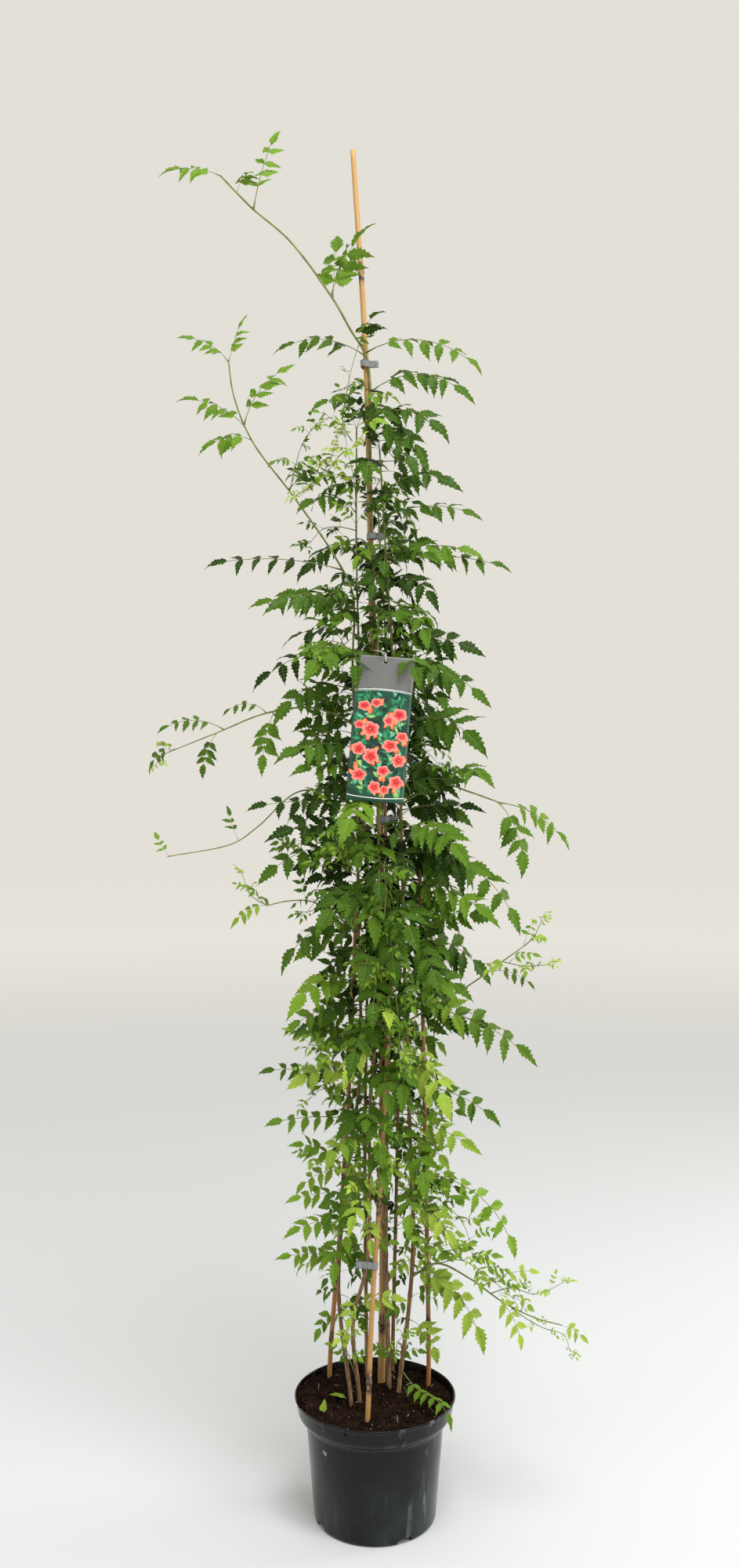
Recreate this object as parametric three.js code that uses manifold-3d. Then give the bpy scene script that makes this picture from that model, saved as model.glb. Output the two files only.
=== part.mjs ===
// A trumpet vine (Campsis) as a nursery grows it: a round container of soil, bamboo canes, six climbing
// stems with their pinnate leaves, plastic ties and a hanging picture label.
// Millimetres, +Z up. The origin is the centre of the container's underside, and -Y is the front.

import * as THREE from "three";
import { mergeVertices } from "three/addons/utils/BufferGeometryUtils.js";
import Module from "manifold-3d";

const wasm = await Module();
wasm.setup();

// ---------------------------------------------------------------- driving dimensions

const GAP = 0.5; // kept between two pieces that touch
const HOLE = { clearance: 0.65, below: 1, rings: 5 }; // round what stands in the soil, and under its foot
const OVERSHOOT = 10; // how far a cutting box reaches past the face that it cuts
const UP = new THREE.Vector3(0, 0, 1);

const POT = {
  height: 210,
  rimRadius: 140,
  collarRadius: 134, // at the collar's lower edge
  collarHeight: 35,
  bodyRadius: 120.5, // just under the collar
  footRadius: 107,
  wall: 2.5,
  floor: 3,
  sides: 28,
};
const NOTCH = {
  count: 4,
  firstAngle: rad(28),
  width: 28,
  height: 9,
  depth: 24,
  wall: 3,
  drainRadius: 3,
  drainSides: 8,
};
const SOIL = { level: 197, edgeDrop: 1, dip: 5, relief: 3.2, ringRadii: [36, 72, 106] };

// A cane swells at its nodes, over `nodeHalf` to either side, and has none in its last `plainTop`.
const CANE = { sides: 5, swell: 1.18, nodeHalf: 5, plainTop: 30 };
const CANES = [
  {
    name: "cane_main",
    radii: [7, 4.6],
    firstNode: 262,
    nodeSpacing: 268,
    points: [
      [11, 76, 40],
      [12, 74, 195],
      [15, 66, 445],
      [13, 55, 850],
      [9, 46, 1209],
      [-4, 39, 1520],
      [-8, 34, 1710],
      [-16, 30, 2024],
      [-39, 26, 2391],
    ],
  },
  {
    name: "cane_left",
    radii: [4.4, 3.6],
    firstNode: 210,
    nodeSpacing: 300,
    points: [
      [-75, 68, 60],
      [-82, 74, 193],
      [-64, 74, 450],
      [-48, 70, 700],
      [-32, 64, 1080],
    ],
  },
  {
    name: "cane_right",
    radii: [4.2, 3.4],
    firstNode: 250,
    nodeSpacing: 280,
    points: [
      [88, 53, 60],
      [96, 58, 195],
      [93, 60, 480],
      [88, 58, 760],
      [80, 54, 1130],
    ],
  },
  {
    name: "cane_front",
    radii: [4.6, 3.6],
    firstNode: 200,
    nodeSpacing: 290,
    points: [
      [-20, -94, 60],
      [-13, -78, 195],
      [-5, -48, 379],
      [8, -22, 560],
      [30, 8, 960],
    ],
  },
];

// A stem leaves the soil along `foot` and then climbs round the main cane: each `climb` row is a height, a
// distance from the cane's centre and a bearing in degrees. `free` is the stretch that hangs clear of it.
const STEM_SIDES = 5;
const STEM_STEP = 90; // length between two rings of a stem or shoot
const STEMS = [
  {
    name: "stem_leader",
    radii: [4.6, 1.5],
    foot: [
      [24, 49, 150],
      [25, 52, 200],
    ],
    climb: [
      [445, 12.8, 290],
      [850, 12.8, 315],
      [1209, 11.6, 325],
      [1540, 10.8, 300],
      [1710, 10.0, 280],
      [1860, 9.6, 285],
      [2022, 8.8, 280],
    ],
    free: [
      [-43, 8, 2068],
      [-74, 4, 2121],
      [-150, -4, 2220],
      [-215, -10, 2274],
      [-268, -14, 2327],
    ],
    leafFrom: 1760,
    leafTo: 1985,
  },
  {
    name: "stem_left",
    radii: [3.8, 1.2],
    foot: [
      [-41, -14, 150],
      [-42, -9, 200],
      [-64, 18, 379],
      [-52, 32, 560],
    ],
    climb: [
      [760, 47, 212],
      [1000, 45, 205],
      [1250, 42, 200],
      [1480, 38, 192],
      [1610, 34, 186],
    ],
    free: [
      [-70, 24, 1672],
      [-143, 16, 1777],
      [-216, 6, 1874],
      [-247, 0, 1951],
      [-256, -2, 2012],
    ],
    leafFrom: 400,
    leafTo: 1600,
  },
  {
    name: "stem_front",
    radii: [3.8, 1.6],
    foot: [
      [-27, -12, 150],
      [-27, -8, 200],
      [-38, -20, 340],
      [-14, -34, 447],
      [-10, -14, 560],
    ],
    climb: [
      [700, 56, 246],
      [900, 50, 262],
      [1200, 48, 266],
      [1400, 60, 272],
      [1490, 65, 277],
      [1570, 60, 280],
    ],
    free: [],
    leafFrom: 380,
    leafTo: 1410,
  },
  {
    name: "stem_right",
    radii: [4.2, 1.4],
    foot: [
      [40, 24, 150],
      [42, 29, 200],
      [60, 34, 342],
      [68, 38, 460],
    ],
    climb: [
      [700, 50, 338],
      [1000, 45, 330],
      [1300, 42, 335],
      [1600, 36, 326],
      [1860, 25, 320],
    ],
    free: [],
    leafFrom: 380,
    leafTo: 1850,
  },
  {
    name: "stem_back",
    radii: [3.8, 1.5],
    foot: [
      [32, 99, 150],
      [32, 101, 200],
    ],
    climb: [
      [600, 42, 52],
      [1000, 43, 42],
      [1400, 40, 50],
      [1760, 28, 58],
    ],
    free: [],
    leafFrom: 440,
    leafTo: 1750,
  },
  {
    name: "stem_rear_left",
    radii: [3.6, 1.4],
    foot: [
      [-16, 90, 150],
      [-15, 92, 200],
    ],
    climb: [
      [600, 44, 138],
      [1000, 44, 126],
      [1400, 40, 132],
      [1700, 33, 140],
      [1900, 22, 160],
    ],
    free: [],
    leafFrom: 460,
    leafTo: 1890,
  },
];

// Side shoots: each leaves its stem at a height and runs through points set clear of the column.
const SHOOT_SIDES = 4;
const SHOOTS = [
  {
    name: "spray_left",
    stem: "stem_left",
    height: 1380,
    radii: [1.9, 0.9],
    points: [
      [-108, 20, 1406],
      [-191, 8, 1396],
      [-274, -4, 1362],
      [-350, -10, 1331],
    ],
  },
  {
    name: "runner_left",
    stem: "stem_left",
    height: 1236,
    radii: [1.5, 0.8],
    points: [
      [-129, 10, 1260],
      [-205, -4, 1197],
      [-246, -10, 1169],
      [-360, -18, 1146],
    ],
  },
  {
    name: "shoot_left",
    stem: "stem_left",
    height: 1010,
    radii: [1.6, 0.9],
    points: [
      [-108, 0, 1066],
      [-149, -12, 1069],
      [-186, -20, 1062],
    ],
  },
  {
    name: "branch_right",
    stem: "stem_right",
    height: 1236,
    radii: [2.2, 1.3],
    points: [
      [112, 10, 1272],
      [166, -2, 1258],
      [221, -10, 1238],
    ],
  },
  {
    name: "shoot_right",
    stem: "stem_right",
    height: 850,
    radii: [1.7, 0.9],
    points: [
      [166, -6, 923],
      [221, -14, 964],
      [262, -18, 994],
    ],
  },
  {
    name: "spray_right",
    stem: "stem_right",
    height: 398,
    radii: [2.1, 0.9],
    points: [
      [110, 8, 432],
      [166, -8, 411],
      [221, -18, 375],
      [276, -24, 350],
      [322, -26, 338],
    ],
  },
];

// Leaves. A leaf's midline starts at the angle `rise` above the horizontal and ends at `fall`.
const LEAF = {
  stalkHalf: 1.0, // half the width of the leaf stalk
  stalkRidge: 1.6, // the stalk's thickness against half its width
  rib: 1.7, // the thickness of a leaflet at its rib
  leafletBase: 2.2, // half the length of a leaflet's seat on the stalk
  leafletShare: 0.35, // leaflet length as a share of leaf length
  endShare: 1.15, // length of the leaflet at the leaf's end, against the others
  forward: rad(32), // how far leaflets point towards the leaf's tip
  hang: rad(17), // how far leaflets hang below the leaf's own plane
  curl: 0.16, // how far a leaflet's tip bends down, as a share of its length
  endPlace: 0.94, // where the last leaflet starts, as a share of the leaf's length
  stalkTaper: 0.35, // how much thinner the stalk is at the leaf's end
};
// A leaflet's edge from its seat round the tip, as shares of its length: along the rib, and across it.
const LEAFLET_EDGE = [
  [0.28, -0.29],
  [0.6, -0.17],
  [1, 0],
  [0.42, 0.29],
];
const LEAFLET_RIB = 0.42; // where the rib is highest
// The pairs of leaflets sit at these shares of the leaf's length.
const PAIR_PLACES = {
  1: [0.55],
  2: [0.4, 0.7],
  3: [0.32, 0.54, 0.77],
  4: [0.3, 0.46, 0.62, 0.79],
};

// The column's leaves follow one spiral: each next leaf is a step higher and a golden angle further round,
// and grows from the stem that is nearest on that side.
const SPIRAL = { seed: 7, count: 72, from: 404, pitch: 20.2, goldenAngle: 137.50776 };
// Each of its leaves draws these: the least, and how much the draw adds. Angles are in degrees.
const SPIRAL_LEAF = {
  share: [0.8, 0.32], // of the length that LENGTH_AT gives
  rise: [10, 40],
  fall: [-62, 46],
  roll: [-12, 24],
  threePairsEvery: 8,
};
// Degrees: where light comes from, how far leaves swing round to it, and how far they roll to face it.
const LIGHT = { bearing: 270, pull: 22, tilt: 42 };
const MOST_SIDEWAYS = 58; // degrees between a leaf and the outward direction of its stem
const LENGTH_AT = [
  [400, 92],
  [650, 104],
  [950, 150],
  [1300, 152],
  [1600, 132],
  [1900, 104],
];
// A leaf that would cross another piece is turned and lifted (degrees) by the first row that clears.
const CLEARING = [
  [0, 0],
  [0, 10],
  [0, -10],
  [14, 0],
  [-14, 0],
  [14, 10],
  [-14, 10],
  [14, -10],
  [-14, -10],
  [28, 0],
  [-28, 0],
  [28, 14],
  [-28, 14],
  [28, -14],
  [-28, -14],
  [0, 24],
  [0, -24],
  [44, 0],
  [-44, 0],
];
const CLEAR_BY = 0.8;

// Leaves placed one by one: [stem or shoot, place, bearing, rise, fall, length, pairs, leaflet length].
// The place is a height on a stem, and a share of the length on a shoot or on a stem's free end.
const SET_LEAVES = [
  ["stem_left", 1650, 184, 16, -10, 218, 4, 37],
  ["stem_left", 1790, 20, 50, -14, 108, 3, 30],
  ["stem_left", 1874, 188, 22, -34, 72, 2, 32],
  ["stem_left", 1896, 186, 48, 4, 104, 3, 30],
  ["stem_left", 1900, 15, 82, 34, 120, 3, 30],
  ["stem_left", 2006, 190, 58, 6, 78, 2, 25],
  ["stem_left", 2008, 350, 78, 66, 62, 2, 24],
  ["stem_left", 1592, 190, 14, -14, 150, 3, 40],
  ["stem_left", 1500, 188, 14, -42, 165, 3, 42],
  ["stem_left", 1228, 192, 16, -12, 172, 3, 36],
  ["stem_left", 1152, 200, 20, -40, 165, 3, 44],
  ["stem_left", 868, 196, 24, -38, 122, 2, 36],
  ["stem_left", 738, 188, 30, -8, 165, 4, 28],
  ["stem_left", 678, 190, 12, -10, 138, 3, 30],
  ["stem_left", 545, 192, 14, -14, 84, 2, 28],
  ["stem_left", 442, 188, 10, -8, 92, 3, 26],
  ["stem_leader", 2026, 350, 30, -44, 212, 4, 30],
  ["stem_leader", 2020, 178, 46, -22, 138, 3, 32],
  ["stem_leader", 1966, 345, 34, -40, 170, 4, 38],
  ["stem_leader", 1945, 300, -10, -78, 84, 2, 38],
  ["stem_leader", 1936, 190, 40, -30, 84, 2, 30],
  ["stem_leader", 1893, 338, 20, -64, 104, 2, 42],
  ["stem_leader", 2040, 300, 62, 6, 64, 1, 32],
  ["stem_leader", 2118, 80, 86, 62, 104, 2, 40],
  ["stem_leader", 2124, 312, 66, 34, 98, 2, 42],
  ["stem_leader", 2272, 25, 80, 68, 136, 3, 27],
  ["stem_leader", 2300, 300, 50, -10, 44, 1, 24],
  ["stem_leader", 2326, 186, 26, -12, 76, 2, 30],
  ["spray_left", 0.2, 230, 60, 40, 50, 1, 26],
  ["spray_left", 0.44, 250, -40, -78, 96, 3, 34],
  ["spray_left", 0.48, 170, 50, -40, 78, 2, 20],
  ["spray_left", 0.72, 186, 34, -30, 106, 3, 24],
  ["spray_left", 0.76, 220, -48, -82, 66, 2, 24],
  ["spray_left", 0.99, 176, 10, -66, 48, 1, 24],
  ["runner_left", 0.66, 170, 62, 80, 44, 1, 18],
  ["runner_left", 0.99, 150, 40, 60, 40, 1, 16],
  ["shoot_left", 0.62, 160, 66, 84, 48, 1, 20],
  ["shoot_left", 0.98, 190, 4, -50, 62, 2, 22],
  ["branch_right", 0.45, 300, 50, -30, 128, 2, 40],
  ["branch_right", 0.98, 8, -6, -50, 124, 3, 36],
  ["branch_right", 0.96, 325, -30, -74, 104, 2, 42],
  ["shoot_right", 0.7, 10, 6, -44, 78, 2, 20],
  ["shoot_right", 0.98, 60, 62, 20, 58, 1, 18],
  ["spray_right", 0.5, 20, 30, -12, 100, 2, 22],
  ["spray_right", 0.55, 330, -20, -80, 92, 2, 26],
  ["spray_right", 0.98, 350, -10, -40, 44, 1, 20],
  ["stem_right", 1738, 350, 28, -22, 150, 3, 36],
  ["stem_right", 1660, 352, 14, -18, 196, 4, 36],
  ["stem_right", 1480, 345, 8, -44, 160, 3, 44],
  ["stem_right", 735, 348, 6, -38, 150, 3, 38],
  ["stem_right", 420, 334, -4, -72, 168, 3, 46],
  ["stem_right", 578, 350, 8, -72, 225, 4, 42],
  ["stem_right", 872, 352, 6, -42, 220, 4, 48],
  ["stem_right", 1150, 345, 10, -66, 240, 4, 46],
];

// The sprig that lies on the soil and hangs over the rim, and the cut leaflets that lie on the soil.
const TRAILING = {
  stem: "stem_right",
  height: 236,
  points: [
    [70, -8, 222],
    [95, -52, 227],
    [113, -78, 226],
    [123, -92, 208],
  ],
  pairs: 2,
  leaflet: 34,
};
const SETTLING_STEPS = 6;
const LOOSE_RIB = 1; // half the thickness of a loose leaflet at its rib
const FALLEN = [
  { name: "fallen_leaflet_left", at: [-90, -68], bearing: 78, length: 30 },
  { name: "fallen_leaflet_middle", at: [-52, -4], bearing: 168, length: 34 },
];

const TIE = { height: 12, wall: 1.2, clearance: 0.15, tail: 17, arcSteps: 3, axisSpan: 20 };
const TIES = [
  { name: "tie_foot", cane: "cane_front", stem: "stem_front", height: 445, tailBearing: 200 },
  { name: "tie_middle", cane: "cane_main", stem: "stem_leader", height: 1209, tailBearing: 0 },
  { name: "tie_upper", cane: "cane_main", stem: "stem_leader", height: 1710, tailBearing: 0 },
  { name: "tie_high", cane: "cane_main", stem: "stem_leader", height: 1838, tailBearing: 0 },
  { name: "tie_top", cane: "cane_main", stem: "stem_leader", height: 2012, tailBearing: 0 },
];

const LABEL = {
  width: 98,
  height: 246,
  thick: 0.9,
  headHeight: 56,
  headShift: 6, // the heading's left edge runs in by this much towards its top
  headFlare: 1, // and its right edge stands out by this much
  lean: rad(4.6),
  bow: 6, // how far the sheet bends back towards its two edges
  strips: 6, // across its width
  hole: [18, -78, 1478], // the hole's centre
  holeRadius: 3,
  holeSteps: 4,
  holeDrop: 9, // from the top edge
};
const LABEL_CLEAR = 60; // no leaf hangs this close in front of the label
const LOOP = {
  radius: 0.8,
  sides: 4,
  steps: 24,
  rise: 24, // from the hole up to where it goes round the stem
  side: 5, // how far each strand stands out beside the stem
  before: 2, // and how far before the stem's middle
  slack: 1.3, // how far it stays off the stem's back
  spread: 4, // of each strand, halfway between stem and label
  strandHeights: [21, 14], // there
  // Its way over the label's top edge: to the right, back and up from the hole.
  overEdge: [
    [-1, 5, 15],
    [0, -4, 13],
    [0, -6, 5],
  ],
  throughHole: [
    [0, -0.5],
    [1, 6],
  ], // to the right, and back
};

// ---------------------------------------------------------------- small helpers

function rad(degrees) {
  return (degrees * Math.PI) / 180;
}

function vector(p) {
  return new THREE.Vector3(p[0], p[1], p[2]);
}

/** A repeatable number from 0 to 1 for item k. */
function draw(k, channel) {
  const x = Math.sin(k * 12.9898 + channel * 78.233 + SPIRAL.seed) * 43758.5453;
  return x - Math.floor(x);
}

/** Straight-line reading of a table of [x, y] rows. */
function readOff(table, x) {
  const last = table.length - 1;
  if (x <= table[0][0]) return table[0][1];
  if (x >= table[last][0]) return table[last][1];
  const i = table.findIndex((row) => row[0] > x);
  const [x0, y0] = table[i - 1];
  const [x1, y1] = table[i];
  return y0 + ((y1 - y0) * (x - x0)) / (x1 - x0);
}

function material(colour, roughness) {
  return new THREE.MeshStandardMaterial({ color: colour, roughness, metalness: 0 });
}

const BLACK_PLASTIC = material(0x24292a, 0.42);
const PEAT = material(0x2a1d16, 0.95);
const BAMBOO = material(0xc39a62, 0.6);
const FOLIAGE = material(0x3c7a26, 0.55);
const GREY_TAPE = material(0x7f8583, 0.5);
const PRINTED_CARD = material(0x7d807f, 0.35);
const WHITE_PLASTIC = material(0xe9e9e6, 0.45);

// ---------------------------------------------------------------- solids

/** A closed geometry as a manifold solid with its faces pointing out. */
function solidOf(geometry) {
  const bare = geometry.clone();
  for (const name of Object.keys(bare.attributes)) {
    if (name !== "position") bare.deleteAttribute(name);
  }
  const merged = mergeVertices(bare, 1e-4);
  const triVerts = new Uint32Array(merged.index.array);
  const vertProperties = new Float32Array(merged.attributes.position.array);
  const made = new wasm.Manifold(new wasm.Mesh({ numProp: 3, vertProperties, triVerts }));
  if (made.volume() > 0) return made;
  for (let i = 0; i < triVerts.length; i += 3) {
    [triVerts[i + 1], triVerts[i + 2]] = [triVerts[i + 2], triVerts[i + 1]];
  }
  return new wasm.Manifold(new wasm.Mesh({ numProp: 3, vertProperties, triVerts }));
}

function geometryOf(solid) {
  const { numProp, numVert, vertProperties, triVerts } = solid.getMesh();
  const positions = new Float32Array(numVert * 3);
  for (let i = 0; i < numVert; i++) {
    positions.set(vertProperties.subarray(i * numProp, i * numProp + 3), i * 3);
  }
  const geometry = new THREE.BufferGeometry();
  geometry.setAttribute("position", new THREE.BufferAttribute(positions, 3));
  geometry.setIndex(new THREE.BufferAttribute(new Uint32Array(triVerts), 1));
  geometry.computeVertexNormals();
  return geometry;
}

function indexed(points, triangles) {
  const geometry = new THREE.BufferGeometry();
  const positions = points.flatMap((p) => [p.x, p.y, p.z]);
  geometry.setAttribute("position", new THREE.Float32BufferAttribute(positions, 3));
  geometry.setIndex(triangles);
  return geometry;
}

/** A profile of [radius, height] points turned about Z. */
function turned(profile, sides) {
  const points = profile.map(([r, z]) => new THREE.Vector2(r, z));
  return new THREE.LatheGeometry(points, sides).rotateX(Math.PI / 2);
}

function boxAt(size, centre, bearing = 0) {
  const geometry = new THREE.BoxGeometry(size[0], size[1], size[2]);
  geometry.translate(centre[0], centre[1], centre[2]);
  return solidOf(geometry.rotateZ(bearing));
}

/** A closed tube through rings of a given radius, with a frame that is carried along without twisting. */
function tube(points, radii, sides) {
  const rings = [];
  const triangles = [];
  let normal = null;
  points.forEach((p, i) => {
    const before = points[Math.max(i - 1, 0)];
    const after = points[Math.min(i + 1, points.length - 1)];
    const tangent = after.clone().sub(before).normalize();
    const seed = normal ?? (Math.abs(tangent.x) < 0.9 ? new THREE.Vector3(1, 0, 0) : UP);
    normal = seed.clone().addScaledVector(tangent, -seed.dot(tangent)).normalize();
    const binormal = tangent.clone().cross(normal);
    for (let j = 0; j < sides; j++) {
      const a = (2 * Math.PI * j) / sides;
      const offset = normal.clone().multiplyScalar(Math.cos(a)).addScaledVector(binormal, Math.sin(a));
      rings.push(p.clone().addScaledVector(offset, radii[i]));
    }
  });
  for (let i = 0; i + 1 < points.length; i++) {
    for (let j = 0; j < sides; j++) {
      const a = i * sides + j;
      const b = i * sides + ((j + 1) % sides);
      triangles.push(a, b, b + sides, a, b + sides, a + sides);
    }
  }
  const top = (points.length - 1) * sides;
  for (let j = 1; j + 1 < sides; j++) {
    triangles.push(0, j + 1, j, top, top + j, top + j + 1);
  }
  return indexed(rings, triangles);
}

const root = new THREE.Group();
const placed = []; // { name, solid, box } of every finished piece

function add(name, solid, look) {
  const mesh = new THREE.Mesh(geometryOf(solid), look);
  mesh.name = name;
  root.add(mesh);
  placed.push({ name, solid, box: solid.boundingBox() });
}

function boxesMeet(a, b, margin) {
  return [0, 1, 2].every((i) => a.min[i] < b.max[i] + margin && b.min[i] < a.max[i] + margin);
}

/** True if a solid stays clear of every listed piece. */
function isClear(solid, pieces) {
  const box = solid.boundingBox();
  return pieces.every(
    (piece) => !boxesMeet(box, piece.box, CLEAR_BY) || solid.minGap(piece.solid, CLEAR_BY) >= CLEAR_BY,
  );
}

// ---------------------------------------------------------------- container and soil

const shoulder = POT.height - POT.collarHeight;

/** The wall's inner radius at a height. */
function innerRadius(z) {
  const taper = POT.footRadius + ((POT.bodyRadius - POT.footRadius) * z) / shoulder;
  const collar = POT.collarRadius + ((POT.rimRadius - POT.collarRadius) * (z - shoulder)) / POT.collarHeight;
  return (z < shoulder ? taper : collar) - POT.wall;
}

function potOutline() {
  return [
    [0, 0],
    [POT.footRadius, 0],
    [POT.bodyRadius, shoulder],
    [POT.collarRadius, shoulder],
    [POT.rimRadius, POT.height],
  ];
}

function notchAngles() {
  return Array.from({ length: NOTCH.count }, (_, i) => NOTCH.firstAngle + (2 * Math.PI * i) / NOTCH.count);
}

/** The raised step of the floor over each drainage notch, grown by a margin. */
function floorSteps(margin) {
  const inner = POT.footRadius - NOTCH.depth - NOTCH.wall - margin;
  const size = [
    POT.footRadius + OVERSHOOT - inner,
    NOTCH.width + 2 * (NOTCH.wall + margin),
    NOTCH.height + NOTCH.wall + margin,
  ];
  return notchAngles().map((a) => boxAt(size, [inner + size[0] / 2, 0, size[2] / 2], a));
}

function makePot() {
  const rim = POT.rimRadius - POT.wall;
  const inner = [
    [rim, POT.height],
    [innerRadius(shoulder + POT.wall), shoulder + POT.wall],
    [POT.bodyRadius - POT.wall, shoulder + POT.wall],
    [innerRadius(POT.floor), POT.floor],
    [0, POT.floor],
  ];
  const filled = solidOf(turned([...potOutline(), [0, POT.height]], POT.sides));
  const shell = solidOf(turned([...potOutline(), ...inner], POT.sides));
  const steps = wasm.Manifold.union(floorSteps(0)).intersect(filled);
  const channels = notchAngles().map((a) => {
    const length = NOTCH.depth + OVERSHOOT;
    const start = POT.footRadius - NOTCH.depth;
    return boxAt([length, NOTCH.width, 2 * NOTCH.height], [start + length / 2, 0, 0], a);
  });
  const drains = notchAngles().map((a) => {
    const length = 4 * NOTCH.wall;
    const bore = new THREE.CylinderGeometry(NOTCH.drainRadius, NOTCH.drainRadius, length, NOTCH.drainSides);
    bore.rotateZ(Math.PI / 2);
    bore.translate(POT.footRadius - NOTCH.depth, 0, NOTCH.height / 2);
    return solidOf(bore.rotateZ(a));
  });
  return shell.add(steps).subtract(wasm.Manifold.union([...channels, ...drains]));
}

/** The soil's surface: a shallow dish with clods, a little higher towards the left. */
function soilHeight(x, y) {
  const dish = SOIL.dip * ((x * x + y * y) / POT.bodyRadius ** 2 - 0.6);
  const clods = Math.sin(0.11 * x + 0.4) * Math.cos(0.13 * y) + 0.6 * Math.sin(0.23 * x - 0.19 * y);
  return SOIL.level + dish + SOIL.relief * clods - 0.02 * x;
}

function makeSoil(buried) {
  const wallRadius = innerRadius(SOIL.level) - GAP;
  const ledge = shoulder + POT.wall + GAP;
  const top = [...SOIL.ringRadii, wallRadius].reverse().map((r) => [r, SOIL.level]);
  const profile = [
    [0, POT.floor + GAP],
    [innerRadius(POT.floor) - GAP, POT.floor + GAP],
    [POT.bodyRadius - POT.wall - GAP, ledge],
    [innerRadius(ledge) - GAP, ledge],
    ...top,
    [0, SOIL.level],
  ];
  const geometry = turned(profile, POT.sides);
  const positions = geometry.attributes.position;
  for (let i = 0; i < positions.count; i++) {
    if (positions.getZ(i) > SOIL.level - SOIL.edgeDrop) {
      const [x, y] = [positions.getX(i), positions.getY(i)];
      const atWall = Math.hypot(x, y) > wallRadius - GAP;
      positions.setZ(i, atWall ? SOIL.level - SOIL.edgeDrop : soilHeight(x, y));
    }
  }
  const steps = wasm.Manifold.union(floorSteps(GAP));
  return solidOf(geometry).subtract(steps).subtract(wasm.Manifold.union(buried));
}

// ---------------------------------------------------------------- canes

function curveThrough(points) {
  return new THREE.CatmullRomCurve3(points.map(vector), false, "centripetal");
}

/** The rings of a cane: three at each swollen node, and one between two nodes for its bends. */
function caneRings(cane) {
  const curve = curveThrough(cane.points);
  const length = curve.getLength();
  const nodes = [];
  for (let s = cane.firstNode; s < length - CANE.plainTop; s += cane.nodeSpacing) nodes.push(s);
  const between = nodes.map((s) => s + cane.nodeSpacing / 2).filter((s) => s < length - CANE.plainTop);
  const swollen = nodes.flatMap((s) => [s - CANE.nodeHalf, s, s + CANE.nodeHalf]);
  const rows = [0, ...swollen, ...between, length].sort((a, b) => a - b);
  const points = rows.map((s) => curve.getPointAt(s / length));
  const swell = (s) => (nodes.includes(s) ? CANE.swell : 1);
  const radii = rows.map((s) => THREE.MathUtils.lerp(...cane.radii, s / length) * swell(s));
  return { points, radii, sides: CANE.sides };
}

function tubeSolid({ points, radii, sides }) {
  return solidOf(tube(points, radii, sides));
}

/** The plain hole that a cane or stem stands in: its own tube, wider all round and at its foot. */
function holeFor({ points, radii, sides }) {
  const down = points[0].clone().sub(points[1]).setLength(HOLE.below);
  return tubeSolid({
    points: [points[0].clone().add(down), ...points.slice(1, HOLE.rings)],
    radii: radii.slice(0, HOLE.rings).map((r) => r + HOLE.clearance),
    sides,
  });
}

/** The centre of a cane or stem at a height, on its own faceted tube. */
function centreAt(points, z) {
  const i = Math.max(1, points.findIndex((p) => p.z >= z));
  const [a, b] = [points[i - 1], points[i]];
  return a.clone().lerp(b, (z - a.z) / (b.z - a.z));
}

/** The radius of a cane or stem at a height. */
function radiusAt({ points, radii }, z) {
  return readOff(points.map((p, i) => [p.z, radii[i]]), z);
}

const canes = new Map(CANES.map((cane) => [cane.name, caneRings(cane)]));

/** The main cane's centre at a height. */
function caneCentre(z) {
  return centreAt(canes.get("cane_main").points, z);
}

// ---------------------------------------------------------------- stems and shoots

function stemCurve(stem) {
  const climbing = stem.climb.map(([z, reach, bearing]) => {
    const centre = caneCentre(z);
    return [centre.x + reach * Math.cos(rad(bearing)), centre.y + reach * Math.sin(rad(bearing)), z];
  });
  return curveThrough([...stem.foot, ...climbing, ...stem.free]);
}

/** Rings along a curve, with its radius at each. */
function rings(curve, radii) {
  const count = Math.max(3, Math.ceil(curve.getLength() / STEM_STEP));
  const points = curve.getSpacedPoints(count);
  return { points, radii: points.map((_, i) => THREE.MathUtils.lerp(radii[0], radii[1], i / count)) };
}

function makeStem(stem) {
  return { ...stem, ...rings(stemCurve(stem), stem.radii), sides: STEM_SIDES };
}

/** The centre of a shoot's tube at a share of its length. */
function centreAlong(points, share) {
  const place = share * (points.length - 1);
  const i = Math.min(Math.floor(place), points.length - 2);
  return points[i].clone().lerp(points[i + 1], place - i);
}

function makeShoot(shoot, stems) {
  const start = centreAt(stems.get(shoot.stem).points, shoot.height);
  const curve = curveThrough([[start.x, start.y, start.z], ...shoot.points]);
  return { ...shoot, ...rings(curve, shoot.radii), sides: SHOOT_SIDES };
}

// ---------------------------------------------------------------- leaves

/** A leaf's midline as an arc in a vertical plane. */
function arcMidline(base, bearing, rise, fall, length) {
  const [a0, a1] = [rad(rise), rad(fall)];
  const turn = a1 - a0 || 1e-6;
  const [cos, sin] = [Math.cos(rad(bearing)), Math.sin(rad(bearing))];
  return (s) => {
    const a = a0 + turn * s;
    const out = (length * (Math.sin(a) - Math.sin(a0))) / turn;
    const up = (length * (Math.cos(a0) - Math.cos(a))) / turn;
    const point = new THREE.Vector3(base.x + out * cos, base.y + out * sin, base.z + up);
    return { point, tangent: new THREE.Vector3(Math.cos(a) * cos, Math.cos(a) * sin, Math.sin(a)) };
  };
}

function curveMidline(curve) {
  return (s) => ({ point: curve.getPointAt(s), tangent: curve.getTangentAt(s) });
}

/** The leaf's own frame at a share of its midline: towards the tip, to its left and above. */
function leafFrame(midline, s, roll) {
  const { point, tangent } = midline(s);
  const side = UP.clone().cross(tangent).normalize();
  const above = tangent.clone().cross(side);
  const turnedSide = side.clone().multiplyScalar(Math.cos(roll)).addScaledVector(above, Math.sin(roll));
  return { point, tangent, side: turnedSide, above: tangent.clone().cross(turnedSide) };
}

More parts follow.
